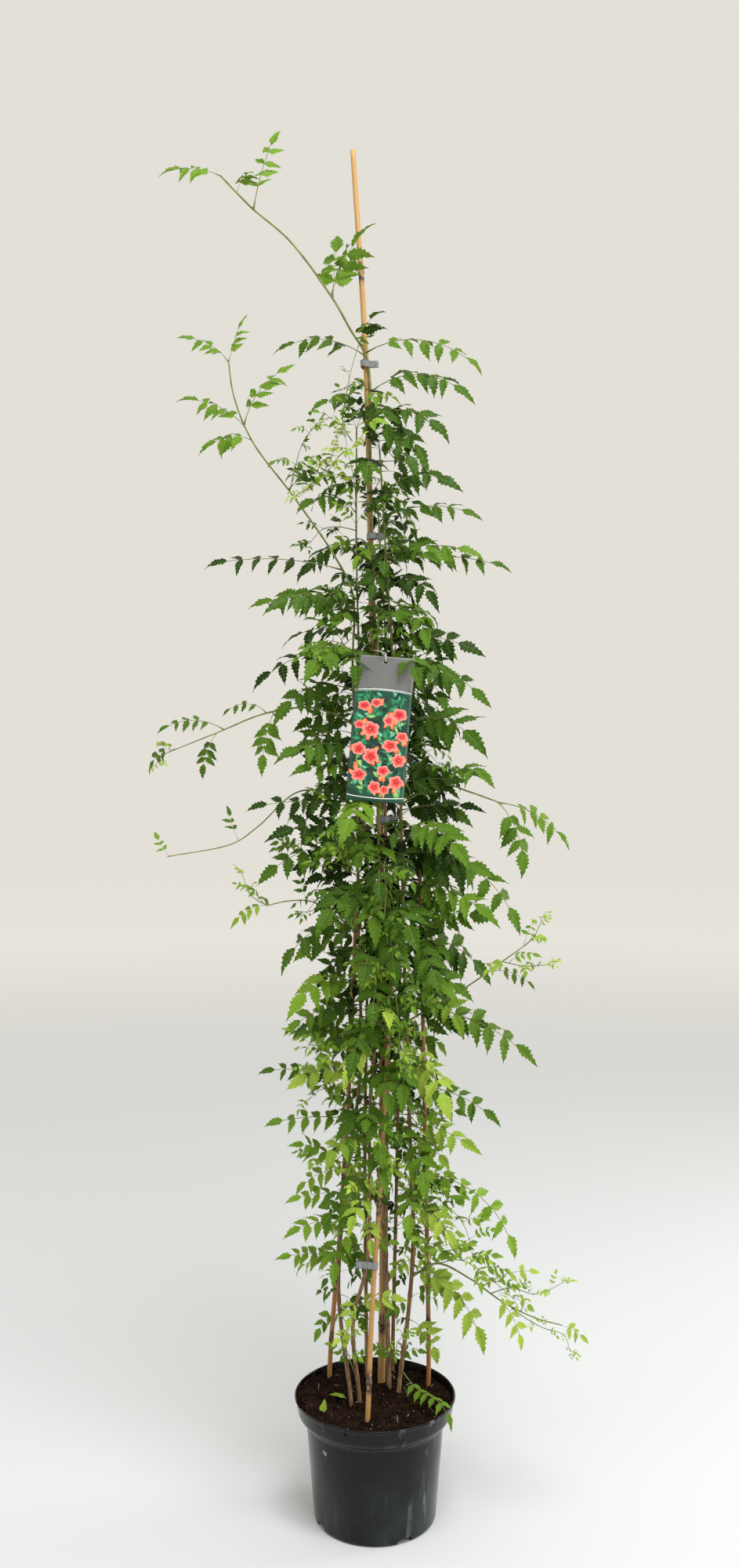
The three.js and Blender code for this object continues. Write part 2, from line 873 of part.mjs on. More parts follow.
/** Places points of a leaflet: u along its rib, v across it towards the leaf's tip. */
function leafletPlane(frame, sideSign, length) {
  const { point, tangent, side, above } = frame;
  const outward = side.clone().multiplyScalar(sideSign * Math.cos(LEAF.forward));
  outward.addScaledVector(tangent, Math.sin(LEAF.forward));
  const along = outward.multiplyScalar(Math.cos(LEAF.hang)).addScaledVector(above, -Math.sin(LEAF.hang));
  const across = tangent.clone().multiplyScalar(Math.cos(LEAF.forward));
  across.addScaledVector(side, -sideSign * Math.sin(LEAF.forward));
  const normal = across.clone().cross(along).multiplyScalar(sideSign).normalize();
  const at = (u, v) =>
    point
      .clone()
      .addScaledVector(along, u * length)
      .addScaledVector(across, v * length)
      .addScaledVector(normal, -LEAF.curl * u * u * length);
  return { at, normal };
}

/** The leaflet at the leaf's end, which carries on along the midline. */
function endLeafletPlane(frame, length) {
  const { point, tangent, side, above } = frame;
  const at = (u, v) =>
    point
      .clone()
      .addScaledVector(tangent, u * length)
      .addScaledVector(side, v * length)
      .addScaledVector(above, -LEAF.curl * u * u * length);
  return { at, normal: above };
}

/**
 * One pinnate leaf as one closed solid, its outline cut to the stalk between the leaflets. Underneath it is
 * one arched sheet, and on top the stalk and each leaflet's rib stand up, so a blade is thickest at its rib.
 */
function leafSolid(midline, roll, pairs, leaflet, length) {
  const points = [];
  const triangles = [];
  const put = (p) => points.push(p) - 1;
  const face = (a, b, c, flip) => triangles.push(a, flip ? c : b, flip ? b : c);
  const fan = (hub, loop, flip) => loop.forEach((p, i) => face(hub, p, loop[(i + 1) % loop.length], flip));
  const weave = (loop, flip) => {
    for (let low = 0, high = loop.length - 1; high - low > 1; low++, high--) {
      face(loop[low], loop[low + 1], loop[high], flip);
      if (high - low > 2) face(loop[low + 1], loop[high - 1], loop[high], flip);
    }
  };
  const raise = (plane) => put(plane.at(LEAFLET_RIB, 0).addScaledVector(plane.normal, LEAF.rib));

  const seat = LEAF.leafletBase / length;
  const places = [0, ...PAIR_PLACES[pairs], LEAF.endPlace];
  const stations = places.map((s, i) => {
    const frame = leafFrame(midline, s, roll);
    const half = LEAF.stalkHalf * (1 - LEAF.stalkTaper * s);
    const edges = (at) => {
      const { point, side } = leafFrame(midline, at, roll);
      return new Map([1, -1].map((sign) => [sign, put(point.clone().addScaledVector(side, sign * half))]));
    };
    const isPair = i > 0 && i < places.length - 1;
    const rear = edges(isPair ? s - seat : s);
    const fore = isPair ? edges(s + seat) : rear;
    const ridge = put(frame.point.clone().addScaledVector(frame.above, LEAF.stalkRidge * half));
    return { frame, isPair, ridge, rear, fore };
  });

  stations.slice(1).forEach((next, i) => {
    const from = stations[i];
    for (const sign of [1, -1]) {
      face(from.ridge, next.ridge, next.rear.get(sign), sign < 0);
      face(from.ridge, next.rear.get(sign), from.fore.get(sign), sign < 0);
    }
    weave([from.fore.get(1), next.rear.get(1), next.rear.get(-1), from.fore.get(-1)], false);
  });
  for (const { frame, ridge, rear, fore } of stations.filter((station) => station.isPair)) {
    weave([rear.get(1), fore.get(1), fore.get(-1), rear.get(-1)], false);
    for (const sign of [1, -1]) {
      const plane = leafletPlane(frame, sign, leaflet);
      const loop = [rear.get(sign), ...LEAFLET_EDGE.map(([u, v]) => put(plane.at(u, v))), fore.get(sign)];
      fan(raise(plane), [...loop, ridge], sign > 0);
      weave(loop.toReversed(), sign > 0);
    }
  }
  const foot = stations[0];
  face(foot.rear.get(1), foot.rear.get(-1), foot.ridge, false);
  const end = stations.at(-1);
  const plane = endLeafletPlane(end.frame, leaflet * LEAF.endShare);
  const loop = [end.rear.get(-1), ...LEAFLET_EDGE.map(([u, v]) => put(plane.at(u, v))), end.rear.get(1)];
  fan(raise(plane), [end.ridge, ...loop], false);
  weave(loop.toReversed(), false);
  return solidOf(indexed(points, triangles));
}

/** The first leaf, as placed or bent clear, that no other piece crosses; null if none does. */
function clearLeaf(spec, others) {
  const { base, bearing, rise, fall, length, roll, pairs, leaflet } = spec;
  for (const [turn, lift] of CLEARING) {
    const midline = arcMidline(base, bearing + turn, rise + lift, fall + lift, length);
    const solid = leafSolid(midline, roll, pairs, leaflet, length);
    if (isClear(solid, others)) return solid;
  }
  return null;
}

function bearingOf(stem, z) {
  const centre = caneCentre(z);
  const p = centreAt(stem.points, z);
  return (Math.atan2(p.y - centre.y, p.x - centre.x) * 180) / Math.PI;
}

function angleBetween(a, b) {
  return ((((a - b) % 360) + 540) % 360) - 180;
}

/** How far a leaf rolls so that its face looks towards the light. */
function lightRoll(bearing) {
  return LIGHT.tilt * Math.sin(rad(bearing - LIGHT.bearing));
}

/** Leaf k of the spiral, or null where no stem is left on that side. */
function spiralLeaf(k, stems) {
  const z = SPIRAL.from + k * SPIRAL.pitch;
  const even = k * SPIRAL.goldenAngle;
  const lit = even + LIGHT.pull * Math.sin(rad(LIGHT.bearing - even));
  const sides = [...stems.values()]
    .filter((stem) => z >= stem.leafFrom && z <= stem.leafTo)
    .map((stem) => ({ stem, off: angleBetween(lit, bearingOf(stem, z)) }))
    .sort((a, b) => Math.abs(a.off) - Math.abs(b.off));
  if (!sides.length) return null;
  const { stem, off } = sides[0];
  const bearing = lit - off + THREE.MathUtils.clamp(off, -MOST_SIDEWAYS, MOST_SIDEWAYS);
  const drawn = ([least, spread], channel) => least + spread * draw(k, channel);
  const length = readOff(LENGTH_AT, z) * drawn(SPIRAL_LEAF.share, 1);
  return {
    stem,
    base: centreAt(stem.points, z),
    bearing,
    rise: drawn(SPIRAL_LEAF.rise, 2),
    fall: drawn(SPIRAL_LEAF.fall, 3),
    roll: rad(drawn(SPIRAL_LEAF.roll, 4) + lightRoll(bearing)),
    pairs: k % SPIRAL_LEAF.threePairsEvery === 0 ? 3 : 2,
    leaflet: length * LEAF.leafletShare,
    length,
  };
}

function setLeaf([host, place, bearing, rise, fall, length, pairs, leaflet], stems, shoots) {
  const stem = stems.get(host);
  const shoot = shoots.get(host);
  const base = stem ? centreAt(stem.points, place) : centreAlong(shoot.points, place);
  const roll = rad(lightRoll(bearing));
  return { stem: stem ?? stems.get(shoot.stem), base, bearing, rise, fall, roll, pairs, leaflet, length };
}

function makeTrailing(stems) {
  const start = centreAt(stems.get(TRAILING.stem).points, TRAILING.height);
  const curve = curveThrough([[start.x, start.y, start.z], ...TRAILING.points]);
  return leafSolid(curveMidline(curve), 0, TRAILING.pairs, TRAILING.leaflet, curve.getLength());
}

// ---------------------------------------------------------------- ties, label and fallen leaflets

/** A band of tape round a cane and the stem beside it, with its stapled tail. */
function makeTie(tie) {
  const cane = canes.get(tie.cane);
  const centre = centreAt(cane.points, tie.height);
  const stem = centreAt(stems.get(tie.stem).points, tie.height);
  const axis = centreAt(cane.points, tie.height + TIE.axisSpan).sub(centre).normalize();
  const middle = centre.clone().add(stem).multiplyScalar(0.5);
  const apart = Math.hypot(stem.x - centre.x, stem.y - centre.y);
  const bearing = Math.atan2(stem.y - centre.y, stem.x - centre.x);
  const inner = (radiusAt(cane, tie.height) + TIE.clearance) / Math.cos(Math.PI / (2 * TIE.arcSteps));
  const band = (radius, height) => {
    const outline = new THREE.Shape();
    outline.absarc(apart / 2, 0, radius, -Math.PI / 2, Math.PI / 2, false);
    outline.absarc(-apart / 2, 0, radius, Math.PI / 2, (3 * Math.PI) / 2, false);
    const options = { depth: height, bevelEnabled: false, curveSegments: TIE.arcSteps };
    const geometry = new THREE.ExtrudeGeometry(outline, options).translate(0, 0, -height / 2);
    return solidOf(geometry.rotateZ(bearing));
  };
  const tail = boxAt([TIE.tail, TIE.wall, TIE.height], [inner + TIE.tail / 2, 0, 0], rad(tie.tailBearing));
  const loop = band(inner + TIE.wall, TIE.height).add(tail).subtract(band(inner, 2 * TIE.height));
  const lean = new THREE.Quaternion().setFromUnitVectors(UP, axis);
  return loop.transform(new THREE.Matrix4().makeRotationFromQuaternion(lean).setPosition(middle).toArray());
}

/** Puts points of the flat label, x to the right and z up from its hole, into place. */
function labelPoint(x, y, z) {
  const bowed = y - LABEL.bow * (1 - (2 * x / LABEL.width) ** 2) + LABEL.bow;
  const [cos, sin] = [Math.cos(LABEL.lean), Math.sin(LABEL.lean)];
  const [hx, hy, hz] = LABEL.hole;
  return new THREE.Vector3(hx + x * cos + z * sin, hy + bowed, hz - x * sin + z * cos);
}

function makeLabel() {
  const top = LABEL.holeDrop;
  const bottom = top - LABEL.height;
  const headBottom = top - LABEL.headHeight;
  const outline = new THREE.Shape();
  const half = LABEL.width / 2;
  const row = (z, x0, x1) => {
    const step = (x1 - x0) / LABEL.strips;
    return Array.from({ length: LABEL.strips + 1 }, (_, i) => [x0 + step * i, z]);
  };
  const edge = [
    ...row(bottom, -half, half),
    [half, headBottom],
    ...row(top, half + LABEL.headFlare, -half + LABEL.headShift),
    [-half, headBottom],
  ];
  outline.setFromPoints(edge.map(([x, z]) => new THREE.Vector2(x, z)));
  const hole = new THREE.Path();
  hole.absarc(0, 0, LABEL.holeRadius, 0, 2 * Math.PI, true);
  outline.holes.push(hole);
  const sheet = new THREE.ExtrudeGeometry(outline, {
    depth: LABEL.thick,
    bevelEnabled: false,
    curveSegments: LABEL.holeSteps,
  });
  const positions = sheet.attributes.position;
  for (let i = 0; i < positions.count; i++) {
    const p = labelPoint(positions.getX(i), -positions.getZ(i), positions.getY(i));
    positions.setXYZ(i, p.x, p.y, p.z);
  }
  return solidOf(sheet);
}

/** The space before the label's face that leaves keep out of. */
function labelView() {
  const drop = LABEL.holeDrop - LABEL.height / 2;
  const size = [LABEL.width, LABEL_CLEAR, LABEL.height];
  const slab = new THREE.BoxGeometry(...size).translate(0, -LABEL_CLEAR / 2 - LABEL.bow, drop);
  return solidOf(slab.rotateY(LABEL.lean).translate(...LABEL.hole));
}

/** The white loop: round a stem, over the label's top edge and back through its hole, which hangs from it. */
function makeLoop(stem) {
  const [x, y, z] = LABEL.hole;
  const top = z + LOOP.rise;
  const held = centreAt(stem.points, top);
  const back = radiusAt(stem, top) + LOOP.radius + LOOP.slack;
  const seat = LABEL.holeRadius - LOOP.radius - 2 * GAP;
  const fromHole = ([right, away, up]) => [x + right, y + away, z + up];
  const halfway = (right, up) => [(held.x + x) / 2 + right, (held.y + y) / 2, z + up];
  const route = [
    [held.x, held.y + back, top],
    [held.x - LOOP.side, held.y - LOOP.before, top],
    halfway(-LOOP.spread, LOOP.strandHeights[0]),
    ...LOOP.overEdge.map(fromHole),
    ...LOOP.throughHole.map(([right, away]) => fromHole([right, away, seat])),
    halfway(LOOP.spread, LOOP.strandHeights[1]),
    [held.x + LOOP.side, held.y - LOOP.before, top - LOOP.before],
  ];
  const curve = new THREE.CatmullRomCurve3(route.map(vector), true, "centripetal");
  return solidOf(new THREE.TubeGeometry(curve, LOOP.steps, LOOP.radius, LOOP.sides, true));
}

/** Lowers a solid until it lies a gap above what is under it. */
function settle(solid, ground) {
  let rested = solid;
  for (let i = 0; i < SETTLING_STEPS; i++) {
    rested = rested.translate(0, 0, GAP - rested.minGap(ground, POT.height));
  }
  return rested;
}

/** One loose leaflet, held above the soil. */
function makeFallen({ at, bearing, length }) {
  const [x, y] = at;
  const edge = LEAFLET_EDGE.map(([u, v]) => [u * length, v * length]);
  const loop = [[0, 0], ...edge];
  const [cos, sin] = [Math.cos(rad(bearing)), Math.sin(rad(bearing))];
  const put = ([u, v], z) => {
    const [px, py] = [x + u * cos - v * sin, y + u * sin + v * cos];
    return new THREE.Vector3(px, py, POT.height + z);
  };
  const points = [LOOSE_RIB, -LOOSE_RIB].map((z) => put([LEAFLET_RIB * length, 0], z));
  loop.forEach((p) => points.push(put(p, 0)));
  const triangles = [];
  loop.forEach((_, i) => {
    const [a, b] = [2 + i, 2 + ((i + 1) % loop.length)];
    triangles.push(0, a, b, 1, b, a);
  });
  return solidOf(indexed(points, triangles));
}

// ---------------------------------------------------------------- the plant, put together

const stems = new Map(STEMS.map((stem) => [stem.name, makeStem(stem)]));
const shoots = new Map(SHOOTS.map((shoot) => [shoot.name, makeShoot(shoot, stems)]));

const soil = makeSoil([...canes.values(), ...stems.values()].map(holeFor));

add("pot", makePot(), BLACK_PLASTIC);
add("soil", soil, PEAT);
for (const [name, cane] of canes) add(name, tubeSolid(cane), BAMBOO);
for (const tie of TIES) add(tie.name, makeTie(tie), GREY_TAPE);
add("label", makeLabel(), PRINTED_CARD);
add("label_loop", makeLoop(stems.get("stem_front")), WHITE_PLASTIC);
for (const leaflet of FALLEN) add(leaflet.name, settle(makeFallen(leaflet), soil), FOLIAGE);

// Each leafy stem gathers its own tube, shoots and leaves; a leaf has to clear every other piece.
const member = (solid, isLeaf = false) => ({ solid, box: solid.boundingBox(), isLeaf });
const leafy = new Map([...stems].map(([name, stem]) => [name, [member(tubeSolid(stem))]]));
for (const shoot of shoots.values()) leafy.get(shoot.stem).push(member(tubeSolid(shoot)));
leafy.get(TRAILING.stem).push(member(makeTrailing(stems), true));

const wanted = [
  ...SET_LEAVES.map((row) => setLeaf(row, stems, shoots)),
  ...Array.from({ length: SPIRAL.count }, (_, k) => spiralLeaf(k, stems)).filter(Boolean),
];
for (const leaf of wanted) {
  const own = leafy.get(leaf.stem.name);
  const others = [...leafy.values()].filter((members) => members !== own).flat();
  const foreign = [...placed, member(labelView()), ...others];
  const solid = clearLeaf(leaf, [...foreign, ...own.filter((m) => m.isLeaf)]) ?? clearLeaf(leaf, foreign);
  if (solid) own.push(member(solid, true));
}
for (const [name, members] of leafy) {
  add(name, wasm.Manifold.union(members.map((m) => m.solid)), FOLIAGE);
}

export default root;
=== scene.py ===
"""A trumpet vine (Campsis) in its nursery pot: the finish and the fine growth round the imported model.

Lengths are in millimetres and become metres where a mesh is made. +Z is up and -Y is the front.
"""

import math

import bpy
import numpy as np
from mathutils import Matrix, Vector, kdtree, noise


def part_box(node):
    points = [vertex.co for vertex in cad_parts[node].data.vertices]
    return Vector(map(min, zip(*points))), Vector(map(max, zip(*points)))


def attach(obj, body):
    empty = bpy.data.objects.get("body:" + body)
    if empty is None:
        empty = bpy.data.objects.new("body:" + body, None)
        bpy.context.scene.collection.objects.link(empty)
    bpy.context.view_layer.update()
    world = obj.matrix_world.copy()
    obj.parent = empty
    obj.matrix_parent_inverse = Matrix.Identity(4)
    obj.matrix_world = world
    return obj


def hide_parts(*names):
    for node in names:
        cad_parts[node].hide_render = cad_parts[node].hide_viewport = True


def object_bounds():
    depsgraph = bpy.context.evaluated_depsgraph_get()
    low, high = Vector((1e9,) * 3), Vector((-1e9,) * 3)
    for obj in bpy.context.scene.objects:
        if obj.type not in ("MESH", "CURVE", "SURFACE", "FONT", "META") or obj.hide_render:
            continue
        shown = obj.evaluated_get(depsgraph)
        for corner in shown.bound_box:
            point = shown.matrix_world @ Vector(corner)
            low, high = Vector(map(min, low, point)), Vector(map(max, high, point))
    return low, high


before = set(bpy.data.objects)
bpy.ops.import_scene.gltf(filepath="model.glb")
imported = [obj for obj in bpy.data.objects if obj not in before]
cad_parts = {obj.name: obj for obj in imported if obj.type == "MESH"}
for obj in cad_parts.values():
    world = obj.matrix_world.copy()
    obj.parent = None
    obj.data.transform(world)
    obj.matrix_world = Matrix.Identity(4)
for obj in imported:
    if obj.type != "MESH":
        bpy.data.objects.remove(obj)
cad_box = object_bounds()

MM = 0.001
UP = np.array([0.0, 0.0, 1.0])
GAP = 0.5  # kept in the model between two pieces that touch

# ---------------------------------------------------------------- the model's driving dimensions

POT = dict(height=210, rim=140, collar=134, collar_height=35, body=120.5, foot=107, wall=2.5, floor=3)
SHOULDER = POT["height"] - POT["collar_height"]
NOTCH = dict(count=4, first=28, width=28, height=9, depth=24, wall=3)
SOIL = dict(level=197, dip=5, relief=3.2)

CANE = dict(node_half=5, plain_top=30)
CANES = [
    dict(
        name="cane_main", radii=(7, 4.6), first_node=262, spacing=268,
        points=[
            (11, 76, 40), (12, 74, 195), (15, 66, 445), (13, 55, 850), (9, 46, 1209),
            (-4, 39, 1520), (-8, 34, 1710), (-16, 30, 2024), (-39, 26, 2391),
        ],
    ),
    dict(
        name="cane_left", radii=(4.4, 3.6), first_node=210, spacing=300,
        points=[(-75, 68, 60), (-82, 74, 193), (-64, 74, 450), (-48, 70, 700), (-32, 64, 1080)],
    ),
    dict(
        name="cane_right", radii=(4.2, 3.4), first_node=250, spacing=280,
        points=[(88, 53, 60), (96, 58, 195), (93, 60, 480), (88, 58, 760), (80, 54, 1130)],
    ),
    dict(
        name="cane_front", radii=(4.6, 3.6), first_node=200, spacing=290,
        points=[(-20, -94, 60), (-13, -78, 195), (-5, -48, 379), (8, -22, 560), (30, 8, 960)],
    ),
]

# Each `climb` row is a height, a distance from the main cane's centre and a bearing in degrees.
STEM_STEP = 90
STEMS = [
    dict(
        name="stem_leader", radii=(4.6, 1.5), foot=[(24, 49, 150), (25, 52, 200)],
        climb=[
            (445, 12.8, 290), (850, 12.8, 315), (1209, 11.6, 325), (1540, 10.8, 300),
            (1710, 10.0, 280), (1860, 9.6, 285), (2022, 8.8, 280),
        ],
        free=[(-43, 8, 2068), (-74, 4, 2121), (-150, -4, 2220), (-215, -10, 2274), (-268, -14, 2327)],
        leaf_range=(1760, 1985),
    ),
    dict(
        name="stem_left", radii=(3.8, 1.2),
        foot=[(-41, -14, 150), (-42, -9, 200), (-64, 18, 379), (-52, 32, 560)],
        climb=[(760, 47, 212), (1000, 45, 205), (1250, 42, 200), (1480, 38, 192), (1610, 34, 186)],
        free=[(-70, 24, 1672), (-143, 16, 1777), (-216, 6, 1874), (-247, 0, 1951), (-256, -2, 2012)],
        leaf_range=(400, 1600),
    ),
    dict(
        name="stem_front", radii=(3.8, 1.6),
        foot=[(-27, -12, 150), (-27, -8, 200), (-38, -20, 340), (-14, -34, 447), (-10, -14, 560)],
        climb=[
            (700, 56, 246), (900, 50, 262), (1200, 48, 266), (1400, 60, 272), (1490, 65, 277),
            (1570, 60, 280),
        ],
        free=[], leaf_range=(380, 1410),
    ),
    dict(
        name="stem_right", radii=(4.2, 1.4),
        foot=[(40, 24, 150), (42, 29, 200), (60, 34, 342), (68, 38, 460)],
        climb=[(700, 50, 338), (1000, 45, 330), (1300, 42, 335), (1600, 36, 326), (1860, 25, 320)],
        free=[], leaf_range=(380, 1850),
    ),
    dict(
        name="stem_back", radii=(3.8, 1.5), foot=[(32, 99, 150), (32, 101, 200)],
        climb=[(600, 42, 52), (1000, 43, 42), (1400, 40, 50), (1760, 28, 58)],
        free=[], leaf_range=(440, 1750),
    ),
    dict(
        name="stem_rear_left", radii=(3.6, 1.4), foot=[(-16, 90, 150), (-15, 92, 200)],
        climb=[(600, 44, 138), (1000, 44, 126), (1400, 40, 132), (1700, 33, 140), (1900, 22, 160)],
        free=[], leaf_range=(460, 1890),
    ),
]
SHOOTS = [
    dict(
        name="spray_left", stem="stem_left", height=1380, radii=(1.9, 0.9),
        points=[(-108, 20, 1406), (-191, 8, 1396), (-274, -4, 1362), (-350, -10, 1331)],
    ),
    dict(
        name="runner_left", stem="stem_left", height=1236, radii=(1.5, 0.8),
        points=[(-129, 10, 1260), (-205, -4, 1197), (-246, -10, 1169), (-360, -18, 1146)],
    ),
    dict(
        name="shoot_left", stem="stem_left", height=1010, radii=(1.6, 0.9),
        points=[(-108, 0, 1066), (-149, -12, 1069), (-186, -20, 1062)],
    ),
    dict(
        name="branch_right", stem="stem_right", height=1236, radii=(2.2, 1.3),
        points=[(112, 10, 1272), (166, -2, 1258), (221, -10, 1238)],
    ),
    dict(
        name="shoot_right", stem="stem_right", height=850, radii=(1.7, 0.9),
        points=[(166, -6, 923), (221, -14, 964), (262, -18, 994)],
    ),
    dict(
        name="spray_right", stem="stem_right", height=398, radii=(2.1, 0.9),
        points=[(110, 8, 432), (166, -8, 411), (221, -18, 375), (276, -24, 350), (322, -26, 338)],
    ),
]

LEAF = dict(stalk_half=1.0, end_share=1.15, end_place=0.94, forward=32, hang=17, curl=0.16, share=0.35)
SPIRAL = dict(seed=7, count=72, first=404, pitch=20.2, golden_angle=137.50776)
# Each leaf of the spiral draws these: the least, and how much the draw adds.
SPIRAL_LEAF = dict(share=(0.8, 0.32), rise=(10, 40), fall=(-62, 46), roll=(-12, 24), three_pairs_every=8)
LIGHT = dict(bearing=270, pull=22, tilt=42)
MOST_SIDEWAYS = 58
LENGTH_AT = [(400, 92), (650, 104), (950, 150), (1300, 152), (1600, 132), (1900, 104)]
CLEARING = [
    (0, 0), (0, 10), (0, -10), (14, 0), (-14, 0), (14, 10), (-14, 10), (14, -10), (-14, -10),
    (28, 0), (-28, 0), (28, 14), (-28, 14), (28, -14), (-28, -14), (0, 24), (0, -24), (44, 0), (-44, 0),
]
# The leaves that are set one by one on each stem or shoot: place, bearing, rise, fall, length, pairs and
# leaflet length. The place is a height on a stem, and a share of the length on a shoot.
SET_LEAVES = {
    "stem_left": [
        (1650, 184, 16, -10, 218, 4, 37),
        (1790, 20, 50, -14, 108, 3, 30),
        (1874, 188, 22, -34, 72, 2, 32),
        (1896, 186, 48, 4, 104, 3, 30),
        (1900, 15, 82, 34, 120, 3, 30),
        (2006, 190, 58, 6, 78, 2, 25),
        (2008, 350, 78, 66, 62, 2, 24),
        (1592, 190, 14, -14, 150, 3, 40),
        (1500, 188, 14, -42, 165, 3, 42),
        (1228, 192, 16, -12, 172, 3, 36),
        (1152, 200, 20, -40, 165, 3, 44),
        (868, 196, 24, -38, 122, 2, 36),
        (738, 188, 30, -8, 165, 4, 28),
        (678, 190, 12, -10, 138, 3, 30),
        (545, 192, 14, -14, 84, 2, 28),
        (442, 188, 10, -8, 92, 3, 26),
    ],
    "stem_leader": [
        (2026, 350, 30, -44, 212, 4, 30),
        (2020, 178, 46, -22, 138, 3, 32),
        (1966, 345, 34, -40, 170, 4, 38),
        (1945, 300, -10, -78, 84, 2, 38),
        (1936, 190, 40, -30, 84, 2, 30),
        (1893, 338, 20, -64, 104, 2, 42),
        (2040, 300, 62, 6, 64, 1, 32),
        (2118, 80, 86, 62, 104, 2, 40),
        (2124, 312, 66, 34, 98, 2, 42),
        (2272, 25, 80, 68, 136, 3, 27),
        (2300, 300, 50, -10, 44, 1, 24),
        (2326, 186, 26, -12, 76, 2, 30),
    ],
    "spray_left": [
        (0.2, 230, 60, 40, 50, 1, 26),
        (0.44, 250, -40, -78, 96, 3, 34),
        (0.48, 170, 50, -40, 78, 2, 20),
        (0.72, 186, 34, -30, 106, 3, 24),
        (0.76, 220, -48, -82, 66, 2, 24),
        (0.99, 176, 10, -66, 48, 1, 24),
    ],
    "runner_left": [
        (0.66, 170, 62, 80, 44, 1, 18),
        (0.99, 150, 40, 60, 40, 1, 16),
    ],
    "shoot_left": [
        (0.62, 160, 66, 84, 48, 1, 20),
        (0.98, 190, 4, -50, 62, 2, 22),
    ],
    "branch_right": [
        (0.45, 300, 50, -30, 128, 2, 40),
        (0.98, 8, -6, -50, 124, 3, 36),
        (0.96, 325, -30, -74, 104, 2, 42),
    ],
    "shoot_right": [
        (0.7, 10, 6, -44, 78, 2, 20),
        (0.98, 60, 62, 20, 58, 1, 18),
    ],
    "spray_right": [
        (0.5, 20, 30, -12, 100, 2, 22),
        (0.55, 330, -20, -80, 92, 2, 26),
        (0.98, 350, -10, -40, 44, 1, 20),
    ],
    "stem_right": [
        (1738, 350, 28, -22, 150, 3, 36),
        (1660, 352, 14, -18, 196, 4, 36),
        (1480, 345, 8, -44, 160, 3, 44),
        (735, 348, 6, -38, 150, 3, 38),
        (420, 334, -4, -72, 168, 3, 46),
        (578, 350, 8, -72, 225, 4, 42),
        (872, 352, 6, -42, 220, 4, 48),
        (1150, 345, 10, -66, 240, 4, 46),
    ],
}
TRAILING = dict(
    stem="stem_right", height=236, pairs=2, leaflet=34,
    points=[(70, -8, 222), (95, -52, 227), (113, -78, 226), (123, -92, 208)],
)
FALLEN = [
    dict(name="fallen_leaflet_left", at=(-90, -68), bearing=78, length=30),
    dict(name="fallen_leaflet_middle", at=(-52, -4), bearing=168, length=34),
]

TIE = dict(height=12, clearance=0.15, tail=17, axis_span=20)
TIES = [
    dict(name="tie_foot", cane="cane_front", stem="stem_front", height=445, tail_bearing=200),
    dict(name="tie_middle", cane="cane_main", stem="stem_leader", height=1209, tail_bearing=0),
    dict(name="tie_upper", cane="cane_main", stem="stem_leader", height=1710, tail_bearing=0),
    dict(name="tie_high", cane="cane_main", stem="stem_leader", height=1838, tail_bearing=0),
    dict(name="tie_top", cane="cane_main", stem="stem_leader", height=2012, tail_bearing=0),
]
LABEL = dict(
    width=98, height=246, thick=0.9, head=56, head_shift=6, head_flare=1, lean=4.6, bow=6,
    hole=(18, -78, 1478), hole_radius=3, hole_drop=9,
)
LOOP = dict(radius=0.8, rise=24, side=5, slack=1.3)

# ---------------------------------------------------------------- how the fine growth differs

FINE_PAIRS = {1: 2, 2: 3, 3: 4, 4: 5}  # a fine leaf has more pairs of leaflets than the model's
LONG_LEAF = 140  # and a leaf longer than this has at least LONG_PAIRS
LONG_PAIRS = 4
# Where the pairs of leaflets stand along a leaf that has so many.
PAIR_PLACES = {
    1: (0.55,),
    2: (0.42, 0.7),
    3: (0.34, 0.55, 0.77),
    4: (0.3, 0.46, 0.62, 0.79),
    5: (0.26, 0.4, 0.54, 0.68, 0.82),
}
BROADER_AT = [(1700, 1.0), (1950, 1.2)]  # its leaflets are this many times as long, by height
TIP_FOUND = 0.08  # how near a vertex of the model a leaf's worked-out tip has to be, in mm

# ---------------------------------------------------------------- small helpers


def draw(k, channel):
    """The model's repeatable number from 0 to 1 for item k."""
    x = math.sin(k * 12.9898 + channel * 78.233 + SPIRAL["seed"]) * 43758.5453
    return x - math.floor(x)


def read_off(table, x):
    """Straight-line reading of a table of (x, y) rows."""
    return float(np.interp(x, [row[0] for row in table], [row[1] for row in table]))


def heading(bearing):
    """The level direction of a bearing in degrees."""
    return np.array([math.cos(math.radians(bearing)), math.sin(math.radians(bearing)), 0.0])


def bearing_along(v):
    """The bearing of a vector, in degrees."""
    return math.degrees(math.atan2(v[1], v[0]))


def unit(v):
    """A vector brought to length one."""
    return v / np.linalg.norm(v)


def unit_rows(vectors):
    """Each vector of an array brought to length one."""
    return vectors / np.maximum(np.linalg.norm(vectors, axis=-1, keepdims=True), 1e-9)


def runs_along(points):
    """How far along a line of points each of them is."""
    steps = np.linalg.norm(np.diff(points, axis=0), axis=1)
    return np.concatenate([[0], np.cumsum(steps)])


def first_over(table, x):
    """The value of the first (limit, value) row whose limit x is over."""
    return next(value for limit, value in table if x > limit)


def smooth_step(x, low, high):
    """0 up to `low`, 1 from `high` on, and a smooth rise between."""
    t = np.clip((x - low) / (high - low), 0, 1)
    return t * t * (3 - 2 * t)


def bell(x, spread):
    """A bell curve: 1 at 0, falling off over the spread."""
    return np.exp(-((x / spread) ** 2))


def full_turn(count):
    """Equal steps once round, in radians."""
    return np.linspace(0, 2 * math.pi, count, endpoint=False)


def ring_at(turn, radius, z):
    """Points round Z at a radius; z is one height, or one for each point."""
    return np.stack([radius * np.cos(turn), radius * np.sin(turn), np.broadcast_to(z, turn.shape)], axis=1)


